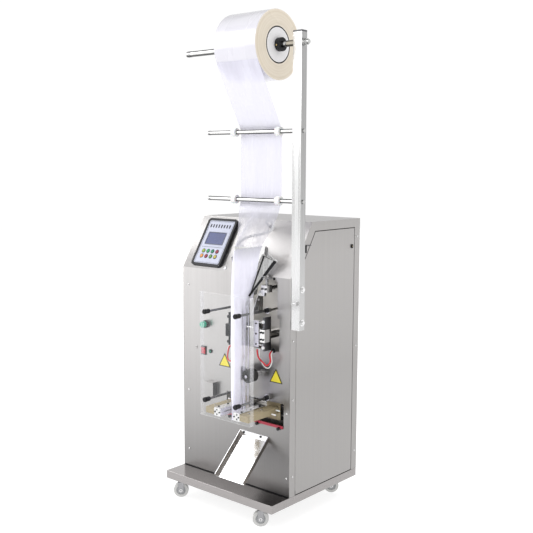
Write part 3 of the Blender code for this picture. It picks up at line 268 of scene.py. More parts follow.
def acrylic():
    """Clear acrylic sheet: nearly invisible face on, and milky at its cut edges."""
    made, tree, shader = material("acrylic", base_color=(0.90, 0.93, 0.94))
    haze = noise(tree, 30.0)
    rim = calc(tree, "ABSOLUTE", axes(tree, normal=True)[2])
    feed(tree, shader, roughness=ramp(tree, haze, 0.04, 0.09),
         alpha=calc(tree, "MULTIPLY_ADD", rim, 0.45, ramp(tree, haze, 0.025, 0.05), use_clamp=True))
    return made


def milky_edge(name, low, high):
    """Bent and cut edges of acrylic: milky, and clearer towards the bottom."""
    made, tree, shader = material(name, base_color=(0.93, 0.93, 0.96))
    haze = noise(tree, 22.0, (1, 1, 0.2))
    fade = ramp(tree, axes(tree)[2], low, high, 0.50, 0.78)
    feed(tree, shader, roughness=ramp(tree, haze, 0.10, 0.22),
         alpha=calc(tree, "MULTIPLY", fade, ramp(tree, haze, 0.85, 1.15)))
    return made


def display_glass():
    """The unlit display: bluish violet, with a faint raster."""
    made, tree, shader = material("display_glass", coat_weight=0.15, coat_roughness=0.05,
                                  specular_ior_level=0.25)
    where = add(tree, "TexCoord").outputs["Object"]
    raster = add(tree, "TexWave", Vector=where, Scale=260.0, Distortion=0.0).outputs["Fac"]
    clouds = noise(tree, 16.0)
    both = calc(tree, "MULTIPLY_ADD", raster, 0.25, ramp(tree, clouds, 0.0, 0.75))
    feed(tree, shader, base_color=tinted(tree, both, (0.030, 0.043, 0.135), (0.060, 0.078, 0.200)),
         roughness=ramp(tree, clouds, 0.22, 0.34))
    return made


# painted shade: the front sheet's steel is darker low down and to the right
PANEL = brushed("panel_steel", (0.69, 0.673, 0.668), "Z", 0.33, low=0.32, right=0.70)
# painted light and shade: the slant is a darker copy of the front sheet's steel, painted lighter low down and
# to the right
SLANT_STEEL = brushed("slant_steel", (0.31, 0.302, 0.300), "Z", 0.42, low=1.65, right=1.55,
                      rise=(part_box("control_panel")[0].z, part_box("control_panel")[1].z))
# painted shade: the sides and rear are a darker copy of the front sheet's steel, and darker low down
SIDE = brushed("side_steel", (0.46, 0.447, 0.440), "Z", 0.36, low=0.78, rise=(0.55, 1.0))
TRAY = brushed("tray_steel", (0.35, 0.333, 0.33), "X", 0.30)
# painted shade: a darker copy of the cabinet's steel for its top
TOP_STEEL = brushed("top_steel", (0.32, 0.312, 0.312), "X", 0.36)
# painted light: a lighter copy of the tray's steel for its top
TRAY_TOP_LIT_STEEL = brushed("tray_top_steel", (0.40, 0.38, 0.375), "X", 0.15)
BRIGHT = brushed("bright_steel", (0.80, 0.80, 0.80), "Z", 0.26)
# painted shade: the mast's steel is darker low down
MAST_STEEL = brushed("mast_steel", (0.84, 0.84, 0.84), "Z", 0.26, low=0.86, rise=(0.80, 1.02))
# painted shade: a darker copy of the mast's steel for its side
MAST_SIDE_SHADE = brushed("mast_side_steel", (0.52, 0.52, 0.52), "Z", 0.28)
BAR = brushed("bar_steel", (0.70, 0.70, 0.70), "Y", 0.26)
PLATE = brushed("plate_steel", (0.52, 0.50, 0.47), "X", 0.42)
CHROME = polished("chrome_plate", (0.76, 0.76, 0.76), 0.10)
# painted shade: the rods are much darker on their top and underside, for the dark lines along them
ROD = polished("rod_chrome", (0.76, 0.76, 0.75), 0.08, 0.10)
MIRROR = polished("mirror_steel", (0.86, 0.86, 0.88), 0.14)
# painted shade: a dark copy of the chute's steel for its right side
CHUTE_SIDE_SHADE = brushed("chute_side_steel", (0.22, 0.20, 0.18), "Z", 0.30)
ZINC = polished("zinc_plate", (0.34, 0.34, 0.35), 0.24)
DARK_METAL = polished("dark_metal", (0.16, 0.16, 0.17), 0.32)
BLACK = moulded("black_plastic", (0.012, 0.012, 0.014), 0.42, specular_ior_level=0.25)
RUBBER = moulded("black_rubber", (0.022, 0.022, 0.022), 0.62, 500.0, 0.4)
NYLON = moulded("white_nylon", (0.80, 0.80, 0.80), 0.36, subsurface_weight=0.08, subsurface_scale=0.004)
HUB = moulded("hub_white", (0.84, 0.83, 0.84), 0.30)
WHEEL = moulded("wheel_nylon", (0.58, 0.58, 0.57), 0.38)
PHENOLIC = moulded("phenolic", (0.34, 0.28, 0.17), 0.48, 300.0, 0.3)
GREY = moulded("grey_enamel", (0.42, 0.43, 0.44), 0.45)
FILM = clear_film()
WOUND = wound_film()
ACRYLIC = acrylic()
HOSE = moulded("clear_hose", (0.84, 0.85, 0.86), 0.18, alpha=0.55)
POST = polished("post_steel", (0.18, 0.18, 0.19), 0.20)
BRASS = polished("brass", (0.72, 0.55, 0.26), 0.22)
RED = moulded("red_strip", (0.42, 0.02, 0.05), 0.34)
FACEPLATE = moulded("faceplate", (0.50, 0.52, 0.62), 0.46, 600.0, 0.08, specular_ior_level=0.3)
DISPLAY = moulded("display_well", (0.10, 0.11, 0.16), 0.40)
BEZEL = moulded("bezel", (0.06, 0.07, 0.12), 0.40)
INK = moulded("ink", (0.03, 0.03, 0.04), 0.55, specular_ior_level=0.2)
GLASS = display_glass()
MILKY = milky_edge("milky_acrylic", 0.14, 0.34)
FLANGE = milky_edge("clear_flange", 0.12, 0.20)
YELLOW = moulded("yellow_plate", (0.78, 0.66, 0.03), 0.42)
TAPE = moulded("sealing_tape", (0.20, 0.17, 0.13), 0.50, 260.0, 0.5)
RED_WIRE = moulded("red_wire", (0.62, 0.02, 0.03), 0.38)
WHITE_WIRE = moulded("white_wire", (0.80, 0.80, 0.78), 0.38)


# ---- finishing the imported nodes
def soften(thing, width, angle=40, segments=2):
    """Rounds the edges of an object that are sharper than an angle in degrees."""
    if width:
        made = thing.modifiers.new("edges", "BEVEL")
        made.width, made.segments, made.harden_normals = width, segments, True
        made.limit_method, made.angle_limit = "ANGLE", math.radians(angle)


def finish(look, names, edge=0.0008, segments=2):
    """Gives nodes a material, and rounds their hard edges."""
    for name in names.split():
        node = NODES[name]
        node.data.materials.clear()
        node.data.materials.append(look)
        node.data.polygons.foreach_set("use_smooth", [True] * len(node.data.polygons))
        node.modifiers.new("weld", "WELD").merge_threshold = 0.00002
        flatten = node.modifiers.new("flatten", "DECIMATE")
        flatten.decimate_type, flatten.angle_limit = "DISSOLVE", math.radians(0.6)
        flatten.delimit = {"MATERIAL"}
        soften(node, edge, segments=segments)
        node.modifiers.new("split", "EDGE_SPLIT").split_angle = math.radians(46)
        node.modifiers.new("normals", "WEIGHTED_NORMAL").weight = 100


FORKS, WHEELS, COLLARS = (
    " ".join(name for name in NODES if name.startswith(kind))
    for kind in ("caster_fork", "caster_wheel", "film_collar")
)

finish(PANEL, "front_panel", 0.0006)
finish(SIDE, "cabinet_body side_door rear_panel", 0.0009)
finish(TRAY, "base_tray", 0.0015)
finish(PLATE, "mechanism_plate gear_motor dosing_pump", 0.0005)
finish(GREY, "control_box", 0.002)
finish(MAST_STEEL, "mast", 0.0012, 3)
finish(ROD, "roll_shaft guide_rod_upper guide_rod_lower", 0.0005)
finish(CHROME, "fill_tube cam_shaft pump_piston cutter_knife", 0.0005)
finish(CHROME, "vertical_sealer_left vertical_sealer_right", 0.0006)
finish(BAR, "jaw_bar_left jaw_bar_right", 0.0009)
finish(PHENOLIC, "jaw_carriage_left jaw_carriage_right", 0.0009)
finish(BRIGHT, "former", 0.0003)
finish(MIRROR, "discharge_chute", 0.0005)
finish(DARK_METAL, FORKS, 0.0006)
finish(WHEEL, WHEELS, 0.0)
finish(NYLON, COLLARS, 0.0)
finish(BLACK, "shaft_collar_left shaft_collar_right", 0.0008)
finish(WOUND, "film_roll", 0.0)
finish(HUB, "roll_hub", 0.0006)
finish(BLACK, "control_panel", 0.003, 4)
finish(BLACK, "power_inlet door_lock", 0.0006)
finish(RUBBER, "pull_roller_left pull_roller_right", 0.0006)
finish(ACRYLIC, "front_guard", 0.0)
KEYS = {
    "key_upper_1": (0.26, 0.34, 0.04), "key_upper_2": (0.01, 0.26, 0.09), "key_upper_3": (0.01, 0.17, 0.08),
    "key_upper_4": (0.24, 0.01, 0.03), "key_lower_1": (0.62, 0.26, 0.05), "key_lower_2": (0.24, 0.01, 0.03),
    "key_lower_3": (0.10, 0.24, 0.06), "key_lower_4": (0.44, 0.36, 0.06), "start_button": (0.02, 0.42, 0.26),
    "reset_button": (0.02, 0.17, 0.12), "power_rocker": (0.55, 0.03, 0.05),
}
for key, colour in KEYS.items():
    finish(moulded(key + "_plastic", colour, 0.36, specular_ior_level=0.3), key, 0.0007, 3)


# ---- shapes for the fine pieces
def finished(name, shape, look, edge=0.0, body="machine", angle=40):
    """A new piece from a bmesh that moves with a body, its hard edges rounded."""
    bmesh.ops.recalc_face_normals(shape, faces=shape.faces)
    mesh = bpy.data.meshes.new(name)
    shape.to_mesh(mesh)
    shape.free()
    mesh.materials.append(look)
    mesh.polygons.foreach_set("use_smooth", [True] * len(mesh.polygons))
    made = linked(name, mesh)
    soften(made, edge, angle)
    made.modifiers.new("split", "EDGE_SPLIT").split_angle = math.radians(angle)
    if body:
        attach(made, body)
    return made


def aimed(point, out):
    """A frame at a point whose Z points out."""
    return Matrix.Translation(point) @ Vector(out).to_track_quat("Z", "Y").to_matrix().to_4x4()


def circle(radius, steps):
    """The (x, y) points of a circle."""
    angles = [2 * math.pi * k / steps for k in range(steps)]
    return [(radius * math.cos(a), radius * math.sin(a)) for a in angles]


def loop_at(shape, place, outline, height):
    """An outline's vertices at a height along a frame's Z, added to a bmesh."""
    return [shape.verts.new(place @ Vector((x, y, height))) for x, y in outline]


def bridge(shape, loops):
    """Faces between each loop of vertices and the next."""
    for first, second in zip(loops, loops[1:]):
        for k in range(len(first)):
            after = (k + 1) % len(first)
            shape.faces.new((first[k], first[after], second[after], second[k]))


def closed(shape, place, outlines):
    """A solid band through outlines and their heights, and back to the first, added to a bmesh."""
    loops = [loop_at(shape, place, outline, height) for outline, height in outlines]
    bridge(shape, loops + loops[:1])
    return shape


def turned(shape, place, profile, steps=20):
    """A profile of (height, radius) points turned about a frame's Z, added to a bmesh."""
    rings = [loop_at(shape, place, circle(radius, steps if radius else 1), height)
             for height, radius in profile]
    for lower, upper in zip(rings, rings[1:]):
        for k in range(steps):
            corners = list(dict.fromkeys((lower[k % len(lower)], lower[(k + 1) % len(lower)],
                                          upper[(k + 1) % len(upper)], upper[k % len(upper)])))
            if len(corners) > 2:
                shape.faces.new(corners)
    for end in (rings[0], rings[-1]):
        if len(end) > 2:
            shape.faces.new(end)
    return shape


def turned_loop(shape, place, profile, steps):
    """A closed profile of (height, radius) points turned about a frame's Z."""
    return closed(shape, place, [(circle(radius, steps), height) for height, radius in profile])


def ring(shape, place, outer, inner, low, high, steps=28):
    """A flat ring about a frame's Z."""
    return turned_loop(shape, place, [(low, inner), (low, outer), (high, outer), (high, inner)], steps)


def prism(shape, place, outline, low, high):
    """An outline extruded from low to high along a frame's Z, added to a bmesh."""
    ends = [loop_at(shape, place, outline, height) for height in (low, high)]
    for end in ends:
        shape.faces.new(end)
    bridge(shape, ends)
    return shape


def rectangle(x, y, radius=0.0, steps=4):
    """A rectangle's outline between two limits each way, with round corners."""
    corners = ((x[1], y[1], 0), (x[0], y[1], 90), (x[0], y[0], 180), (x[1], y[0], 270))
    if not radius:
        return [corner[:2] for corner in corners]
    outline = []
    for across, up, first in corners:
        middle = (across - math.copysign(radius, across - sum(x) / 2),
                  up - math.copysign(radius, up - sum(y) / 2))
        for step in range(steps + 1):
            angle = math.radians(first + 90 * step / steps)
            outline.append((middle[0] + radius * math.cos(angle), middle[1] + radius * math.sin(angle)))
    return outline


def border(shape, place, x, y, width, radius, low, high):
    """A raised border round a rectangle."""
    outer = rectangle(x, y, radius)
    inner = rectangle((x[0] + width, x[1] - width), (y[0] + width, y[1] - width), max(radius - width, 0.0002))
    return closed(shape, place, ((outer, low), (outer, high), (inner, high), (inner, low)))


def pan_head(radius, height):
    """The profile of a pan-head screw with its socket."""
    return [(0, radius), (0.5 * height, radius), (0.85 * height, 0.86 * radius), (height, 0.66 * radius),
            (height, 0.42 * radius), (0.4 * height, 0.36 * radius), (0.4 * height, 0)]


def cap_head(radius, height):
    """The profile of a cap screw's head with its socket."""
    return [(0, radius), (0.92 * height, radius), (height, 0.92 * radius), (height, 0.55 * radius),
            (0.35 * height, 0.50 * radius), (0.35 * height, 0)]


def screws(name, places, out, radius, look, body="machine", height=None, head=pan_head):
    """Screw heads at places, all facing out, as one piece."""
    shape = bmesh.new()
    for place in places:
        turned(shape, aimed(place, out), head(radius, height or radius * 0.62), 18)
    return finished(name, shape, look, body=body)


def swept(name, points, radius, look, steps=10):
    """A round tube along points, with flat ends, as a mesh with no parent."""
    shape = bmesh.new()
    rings = []
    side = None
    for k, point in enumerate(points):
        ahead = (points[min(k + 1, len(points) - 1)] - points[max(k - 1, 0)]).normalized()
        side = (side or ahead.orthogonal()).normalized()
        side = (side - side.dot(ahead) * ahead).normalized()
        other = ahead.cross(side)
        rings.append([shape.verts.new(point + radius * (x * side + y * other)) for x, y in circle(1.0, steps)])
    bridge(shape, rings)
    shape.faces.new(rings[0])
    shape.faces.new(rings[-1])
    return finished(name, shape, look, body=None, angle=60)


def curved(points, steps=8):
    """Points on a smooth curve through the given points."""
    path = [Vector(p) for p in points]
    path = [2 * path[0] - path[1], *path, 2 * path[-1] - path[-2]]
    found = []
    for a, b, c, d in zip(path, path[1:], path[2:], path[3:]):
        for step in range(steps):
            t = step / steps
            found.append(0.5 * (2 * b + (c - a) * t + (2 * a - 5 * b + 4 * c - d) * t**2
                                + (3 * b - a - 3 * c + d) * t**3))
    return [*found, path[-2]]


def paint(names, look, test):
    """Gives the faces of nodes another material where test(centre, normal) holds."""
    for name in names.split():
        node = NODES[name]
        node.data.materials.append(look)
        slot = len(node.data.materials) - 1
        place = node.matrix_world.copy()
        for face in node.data.polygons:
            if test(place @ face.center, place.to_3x3() @ face.normal):
                face.material_index = slot


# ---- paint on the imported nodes
POST_SPACING, POST_HEIGHTS = 0.0765, (0.477, 0.807)  # the guard's posts, each side of their middle
KNOBS_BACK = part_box("front_guard")[0].y + 0.0001
PANEL_FACE = 0.0123  # the control panel's face above the slant
START_BUTTON, RESET_BUTTON, POWER_ROCKER = (-0.179, 0.7126), (-0.155, 0.6055), (-0.193, 0.6045)
STRIP, STRIP_HALF = 0.3715, 0.0056  # the red strip below the jaws: its height, and half its width
CHUTE_SCREWS = 0.314  # their height
HOSE_PORT = (0.060, 1.12)  # across and height
GAP = 0.0002  # between a sheet and a fine piece set on it
MAST_BOLT = 0.0075  # how far the mast's bolts stand out of its side
MAST_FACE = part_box("mast")[1].x - MAST_BOLT
HUB_RADIUS = 0.0182
JAW_FACE_Z = (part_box("jaw_bar_left")[0].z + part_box("jaw_bar_left")[1].z) / 2
SWIVEL = math.radians(130.0)  # the casters' turn in the CAD
AXLE = Vector((math.cos(SWIVEL), math.sin(SWIVEL), 0))


def out_of_slant(point):
    """How far a point stands out of the slanted sheet."""
    return (Vector(point) - Vector((0, FRONT, KNEE))).dot(SLANT_OUT)


def near(point, x, z, reach):
    """Whether a point is near a place, seen from the front."""
    return abs(point.x - x) < reach and abs(point.z - z) < reach


def on_post(point, limit):
    """Whether a point is on one of the guard's posts, in front of a limit."""
    return point.y < limit and abs(abs(point.x - POST_MIDDLE) - POST_SPACING) < 0.01


def on_sheet(point, x, z, reach, limit=-0.0002):
    """Whether a point is near a place on the front sheet, and stands out of it."""
    return point.y < FRONT + limit and near(point, x, z, reach)


PANEL_PAINT = (
    # painted light and shade: the slant's faces get their own darker copy of the steel
    (SLANT_STEEL, lambda c, n: n.dot(SLANT_OUT) > 0.99 and abs(out_of_slant(c)) < 0.0004),
    (POST, lambda c, n: on_post(c, FRONT - 0.013)),
    (BLACK, lambda c, n: on_post(c, KNOBS_BACK)),
    (BLACK, lambda c, n: on_sheet(c, *START_BUTTON, 0.017) or on_sheet(c, *RESET_BUTTON, 0.009)),
    (BLACK, lambda c, n: on_sheet(c, *POWER_ROCKER, 0.0178, 0.003)),
    (RED, lambda c, n: c.y < FRONT - 0.0002 and abs(c.z - STRIP) < STRIP_HALF),
    (BLACK, lambda c, n: c.y < FRONT - 0.0045 and 0.355 < c.z < STRIP),
    (CHROME, lambda c, n: out_of_slant(c) > 0.0003 and near(c, *HOSE_PORT, 0.02)),
    # painted shade: the right side of the small box on the front sheet is painted dark
    (DARK_METAL, lambda c, n: n.x > 0.9 and c.y < FRONT - 0.006 and -0.130 < c.x < -0.120 and c.z < 0.50),
)
for look, test in PANEL_PAINT:
    paint("front_panel", look, test)
paint("mechanism_plate", POST, lambda c, n: on_post(c, FRONT - 0.013))
paint("mechanism_plate", BLACK, lambda c, n: on_post(c, KNOBS_BACK))
paint("mechanism_plate", CHROME,
      lambda c, n: 0.02 < c.y - FRONT < 0.058 and abs(n.x) < 0.1 and abs(n.y) < 0.95)
paint("control_panel", FACEPLATE, lambda c, n: 0.011 < out_of_slant(c) < 0.0133 and n.dot(SLANT_OUT) > 0.9)
paint("control_panel", DISPLAY, lambda c, n: 0.0108 < out_of_slant(c) < 0.0122 and n.dot(SLANT_OUT) > 0.9)
paint("jaw_carriage_left jaw_carriage_right", DARK_METAL, lambda c, n: c.y > -0.0999)
# painted shadow: a black ring in the gap between the hub and the reel's core
paint("roll_hub", BLACK, lambda c, n: 0.061 < math.hypot(c.y - ROLL_AXIS.y, c.z - ROLL_AXIS.z) < 0.0652)
# painted light: the tray's top faces get the lighter copy of its steel
paint("base_tray", TRAY_TOP_LIT_STEEL, lambda c, n: n.z > 0.9)
# painted shade: the cabinet's top faces get the darker copy of its steel
paint("cabinet_body", TOP_STEEL, lambda c, n: n.z > 0.9)
# painted shade: the mast's side faces get the darker copy of its steel
paint("mast", MAST_SIDE_SHADE, lambda c, n: n.x > 0.9)
paint("mast", CHROME, lambda c, n: c.x > MAST_FACE + 0.0004)
# painted shade: the chute's right side faces get the dark copy of its steel
paint("discharge_chute", CHUTE_SIDE_SHADE, lambda c, n: n.x > 0.9)
paint("discharge_chute", BLACK,
      lambda c, n: 0.0025 < FRONT - c.y < 0.0052 and abs(c.z - CHUTE_SCREWS) < 0.0047)
paint("vertical_sealer_right", DARK_METAL, lambda c, n: c.x - CENTRE > 0.0745 and not 0.6935 < c.z < 0.7425)
paint("vertical_sealer_left", BLACK, lambda c, n: CENTRE - c.x > 0.056)
paint("pull_roller_left pull_roller_right", CHROME, lambda c, n: not -0.1901 <= c.y <= -0.1545)
paint("front_guard", MILKY, lambda c, n: abs(n.x) > 0.9 and c.x > CENTRE)
paint("front_guard", FLANGE, lambda c, n: abs(n.x) > 0.9 and c.x < CENTRE)
paint(FORKS, ZINC, lambda c, n: c.z < 0.063)
for name in WHEELS.split():
    hub = (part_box(name)[0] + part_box(name)[1]) / 2
    paint(name, GREY, lambda c, n: (c - hub - (c - hub).dot(AXLE) * AXLE).length < HUB_RADIUS)


# ---- control panel
def on_slant(x, up, out=0.0):
    """The point across, up along and out of the slanted sheet."""
    return Vector((x, FRONT, KNEE)) + up * SLANT_UP + out * SLANT_OUT


def control_panel():
    """The faceplate's border and rules, the display's bezel and glass, and a ring round each key."""
    face = Matrix((SIDEWAYS, SLANT_UP, SLANT_OUT)).transposed().to_4x4()
    face.translation = (0, FRONT, KNEE)
    level = PANEL_FACE + 0.0003
    low, high = level + 0.0001, level + 0.0004
    lines = bmesh.new()
    border(lines, face, (-0.2455, -0.1175), (0.0225, 0.2055), 0.0007, 0.004, low, high)
    prism(lines, face, rectangle((-0.238, -0.125), (0.0905, 0.0915)), low, high)
    for k in range(8):
        start = -0.237 + 0.0146 * k
        prism(lines, face, rectangle((start, start + 0.0064), (0.177, 0.192), 0.0015, 2), low, high)
    finished("panel_rules", lines, INK)
    bezel = border(bmesh.new(), face, (-0.231, -0.133), (0.102, 0.1575), 0.0036, 0.003, low,
                   level + 0.001)
    finished("display_bezel", bezel, BEZEL, 0.0002)
    opening = rectangle((-0.2272, -0.1368), (0.1058, 0.1537), 0.001, 2)
    glass = prism(bmesh.new(), face, opening, level - 0.0008, level + 0.0002)
    finished("display_glass", glass, GLASS, 0.0002)
    rings = bmesh.new()
    for x in (-0.2195, -0.195, -0.1705, -0.146):
        for up in (0.0728, 0.0503):
            ring(rings, face @ Matrix.Translation((x, up, 0)), 0.009, 0.0076, low, level + 0.0007)
    finished("key_rings", rings, INK)
    places = [on_slant(x, up, 0.0139) for x in (-0.256, -0.108) for up in (0.0146, 0.214)]
    screws("panel_screws", places, SLANT_OUT, 0.002, DARK_METAL, height=0.0008)


control_panel()


# ---- front face
def front_details():
    """Screws, plugs and fittings on the front sheet."""
    places = ((-0.279, 0.429), (-0.279, 0.180), (-0.279, 0.860), (0.236, 0.180), (0.236, 0.429))
    screws("front_screws", [(x, FRONT - GAP, z) for x, z in places], FORE, 0.0042, CHROME)
    plug = turned(bmesh.new(), aimed((-0.237, FRONT - GAP, 0.610), FORE),
                  [(0, 0.0075), (0.0012, 0.0075), (0.002, 0.006), (0.002, 0)])
    finished("blanking_plug", plug, PANEL)
    ringed = turned(bmesh.new(), aimed(on_slant(-0.083, 0.013, GAP), SLANT_OUT),
                    [(0, 0.0068), (0.0016, 0.0068), (0.0016, 0.005), (0.0008, 0.0046), (0.0008, 0)])
    finished("slant_plug", ringed, ZINC, 0.0003)
    foot = rectangle((LEFT + 0.004, RIGHT - 0.004), (FRONT - 0.0016, FRONT - 0.0003))
    seal = prism(bmesh.new(), Matrix(), foot, TRAY_TOP + 0.0004, TRAY_TOP + 0.0034)
    finished("base_seal", seal, BLACK, 0.0003)
    washers, nuts, grips = bmesh.new(), bmesh.new(), bmesh.new()
    ribbed = [(x * reach, y * reach) for (x, y), reach in zip(circle(1.0, 24), (0.0088, 0.0094) * 12)]
    inside = circle(0.0086, 24)
    nut = [(0.0024, 0.0049), (0.0024, 0.0095), (0.013, 0.0082), (0.013, 0.0049)]
    for x in (POST_MIDDLE - POST_SPACING, POST_MIDDLE + POST_SPACING):
        for z in POST_HEIGHTS:
            place = aimed((x, FRONT - 0.0122, z), FORE)
            ring(washers, place, 0.0125, 0.0049, 0.0, 0.0022)
            turned_loop(nuts, place, nut, 14)
            place = aimed((x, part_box("front_panel")[0].y + 0.009, z), FORE)
            closed(grips, place, ((ribbed, 0.0), (ribbed, 0.007), (inside, 0.007), (inside, 0.0)))
    finished("post_washers", washers, CHROME, 0.0004)
    finished("post_nuts", nuts, BLACK, 0.0004)
    finished("knob_grips", grips, BLACK)
    angles = (math.pi / 2, math.pi * 7 / 6, math.pi * 11 / 6)
    corners = [(0.0355 * math.cos(a), 0.0355 * math.sin(a)) for a in angles]
    inner = [(0.84 * x, 0.84 * y) for x, y in corners]
    for name, x, z in (("warning_plate_right", 0.183, 0.554), ("warning_plate_left", -0.0785, 0.574)):
        place = aimed((x, FRONT - 0.0003, z), FORE)
        finished(name, prism(bmesh.new(), place, corners, 0.0, 0.0006), YELLOW, 0.0004)
        rim = closed(bmesh.new(), place,
                     ((corners, 0.0007), (corners, 0.0012), (inner, 0.0012), (inner, 0.0007)))
        finished(name + "_rim", rim, BLACK)
    glands = bmesh.new()
    gland = [(0, 0.0088), (0.003, 0.0088), (0.0032, 0.0066), (0.0105, 0.0058), (0.0112, 0.0048),
             (0.0112, 0)]
    for x, z in ((0.171, 0.656), (-0.028, 0.65)):
        turned(glands, aimed((x, FRONT - 0.0003, z), FORE), gland, 8)
    finished("wire_glands", glands, BLACK, 0.0004)


front_details()


# ---- heater wires
def wires():
    """Each vertical sealer's red and white heater wires, from a gland in the front sheet."""
    sealer_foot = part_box("vertical_sealer_right")[0].z
    kinds = {"red": (RED_WIRE, 0.003), "white": (WHITE_WIRE, 0.002)}
    routes = {
        ("right", "red"): (
            (0.169, FRONT - 0.008, 0.656), (0.172, FRONT - 0.024, 0.646), (0.18, -0.15, 0.622),
            (0.169, -0.156, 0.606), (0.152, -0.158, 0.615), (0.131, -0.159, 0.63),
            (0.1225, -0.157, 0.65)),
        ("right", "white"): (
            (0.1735, FRONT - 0.008, 0.656), (0.1765, FRONT - 0.02, 0.646), (0.183, -0.145, 0.618),
            (0.172, -0.15, 0.596), (0.15, -0.152, 0.601), (0.132, -0.1515, 0.626),
            (0.1295, -0.151, 0.652)),
        ("left", "red"): (
            (-0.026, FRONT - 0.008, 0.65), (-0.034, FRONT - 0.02, 0.646), (-0.038, -0.145, 0.625),
            (-0.033, -0.152, 0.603), (-0.013, -0.158, 0.595), (0.015, -0.158, 0.62),
            (0.025, -0.156, 0.652)),
        ("left", "white"): (
            (-0.0305, FRONT - 0.008, 0.65), (-0.042, FRONT - 0.018, 0.644), (-0.044, -0.14, 0.619),
            (-0.038, -0.145, 0.594), (-0.013, -0.15, 0.588), (0.011, -0.151, 0.615),
            (0.0185, -0.151, 0.652)),
    }
    for (side, colour), points in routes.items():
        look, gauge = kinds[colour]
        path = curved([*points, (*points[-1][:2], sealer_foot + 0.001)])
        wire = swept("heater_wire_%s_%s" % (colour, side), path, gauge, look)
        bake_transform(wire)


wires()


# ---- film and hose
# The film's front line over the plough: height, y, the angle of its wings, and its radius.
FOLDS = (
    (1.199, -0.0898, 90.0, 0.0065), (1.120, -0.165, 60.0, 0.0065), (1.040, -0.235, 33.4, 0.0065),
    (0.940, -0.243, 19.9, 0.0075), (0.845, -0.246, 6.9, 0.0092),
)
# The tube below it: height, half its width, and the share of its depth where its edges meet.
TUBES = (
    (0.810, 0.0098, 1.0), (0.778, 0.0095, 0.84), (0.660, 0.0095, 0.84), (0.600, 0.0095, 0.70),
    (0.588, 0.0088, 0.55), (0.532, 0.0088, 0.55), (0.505, 0.0095, 0.84), (0.478, 0.0075, 0.84),
    (0.456, 0.003, 0.84), (0.447, 0.0006, 0.84), (0.400, 0.0006, 0.84),
)
CLEAR = 0.0005  # half the gap between the film's own layers
FILM_HALF, TUBE_FRONT, TUBE_DEPTH = 0.100, -0.246, 0.094
FILM_STEPS = 18  # the film's faces from its middle to its edge
# The tube's points from its front to its rear, as shares of its depth: FILM_STEPS + 1 of them.
SHARES = (0, 0.015, 0.035, 0.06, 0.10, 0.16, 0.22, 0.28, 0.34, 0.40, 0.46, 0.52, 0.58, 0.64, 0.70, 0.77, 0.84,
          0.92, 1.0)


def ease(value):
    """0 to 1, with a soft start and end."""
    value = min(1.0, max(0.0, value))
    return value * value * (3 - 2 * value)


def between(table, z):
    """The values of a table at a height, on a straight line between its rows."""
    for upper, lower in zip(table, table[1:]):
        if z >= lower[0]:
            break
    share = min(1.0, max(0.0, (upper[0] - z) / (upper[0] - lower[0])))
    return [a + share * (b - a) for a, b in zip(upper[1:], lower[1:])]


def rounded(table, z):
    """The values of a table at a height, with the corners at its rows rounded off."""
    reach = max(0.0, min(0.030, table[0][0] - z, z - table[-1][0]))
    rows = [between(table, z + reach * k / 3) for k in range(-3, 4)]
    return [sum(column) / len(rows) for column in zip(*rows)]


def folded(z):
    """Half of the film's section where it folds over the plough: (across, y) points."""
    y, angle, radius = rounded(FOLDS, z)
    angle = math.radians(angle)
    turn = math.pi / 2 - angle
    straight = FILM_HALF - radius * turn
    row = []
    for k in range(FILM_STEPS + 1):
        part = turn * min(k, 6) / 6
        along = straight * max(0, k - 6) / 12
        row.append((radius * math.sin(part) + along * math.sin(angle),
                    y + radius - radius * math.cos(part) + along * math.cos(angle)))
    return row


def tubular(z):
    """Half of the film's section below the plough, where its edges meet behind the fill tube."""
    radius, meet = between(TUBES, z)
    row = []
    for k in SHARES:
        swell = math.sqrt(max(0.0, 1 - (1 - k / 0.10) ** 2)) if k < 0.10 else 1.0
        narrow = 1 - ease((k - 0.40) / (meet - 0.40)) if k > 0.40 else 1.0
        half = max(CLEAR if k else 0.0, radius * swell * narrow)
        pleated = min(1.0, half / 0.006) * ease((0.80 - z) / 0.05) * ease((z - 0.61) / 0.03)
        pleat = 0.0011 * math.sin(46 * k + 3 * math.sin(9 * z)) * pleated
        row.append((half + (pleat if k else 0.0), TUBE_FRONT + TUBE_DEPTH * k))
    return row


def web_spine(collar, reel):
    """The web's (y, z) points from the reel, behind the upper rod's collars and under the lower rod's."""
    lean = math.asin((reel + collar) / (ROLL_AXIS.z - UPPER_ROD.z))
    start = (ROLL_AXIS.y - reel * math.cos(lean), ROLL_AXIS.z - reel * math.sin(lean))
    over = (UPPER_ROD.y + collar * math.cos(lean), UPPER_ROD.z + collar * math.sin(lean))
    spine = [tuple(a + (b - a) * k / 10 for a, b in zip(start, over)) for k in range(10)]
    for k in (4, 3, 2, 1):
        angle = lean * k / 4
        spine.append((UPPER_ROD.y + collar * math.cos(angle), UPPER_ROD.z + collar * math.sin(angle)))
    spine += [(UPPER_ROD.y + collar, UPPER_ROD.z + (LOWER_ROD.z - UPPER_ROD.z) * k / 10) for k in range(11)]
    for angle in (math.radians(degrees) for degrees in (10, 20, 30, 40)):
        spine.append((LOWER_ROD.y + collar * math.cos(angle), LOWER_ROD.z - collar * math.sin(angle)))
    return spine


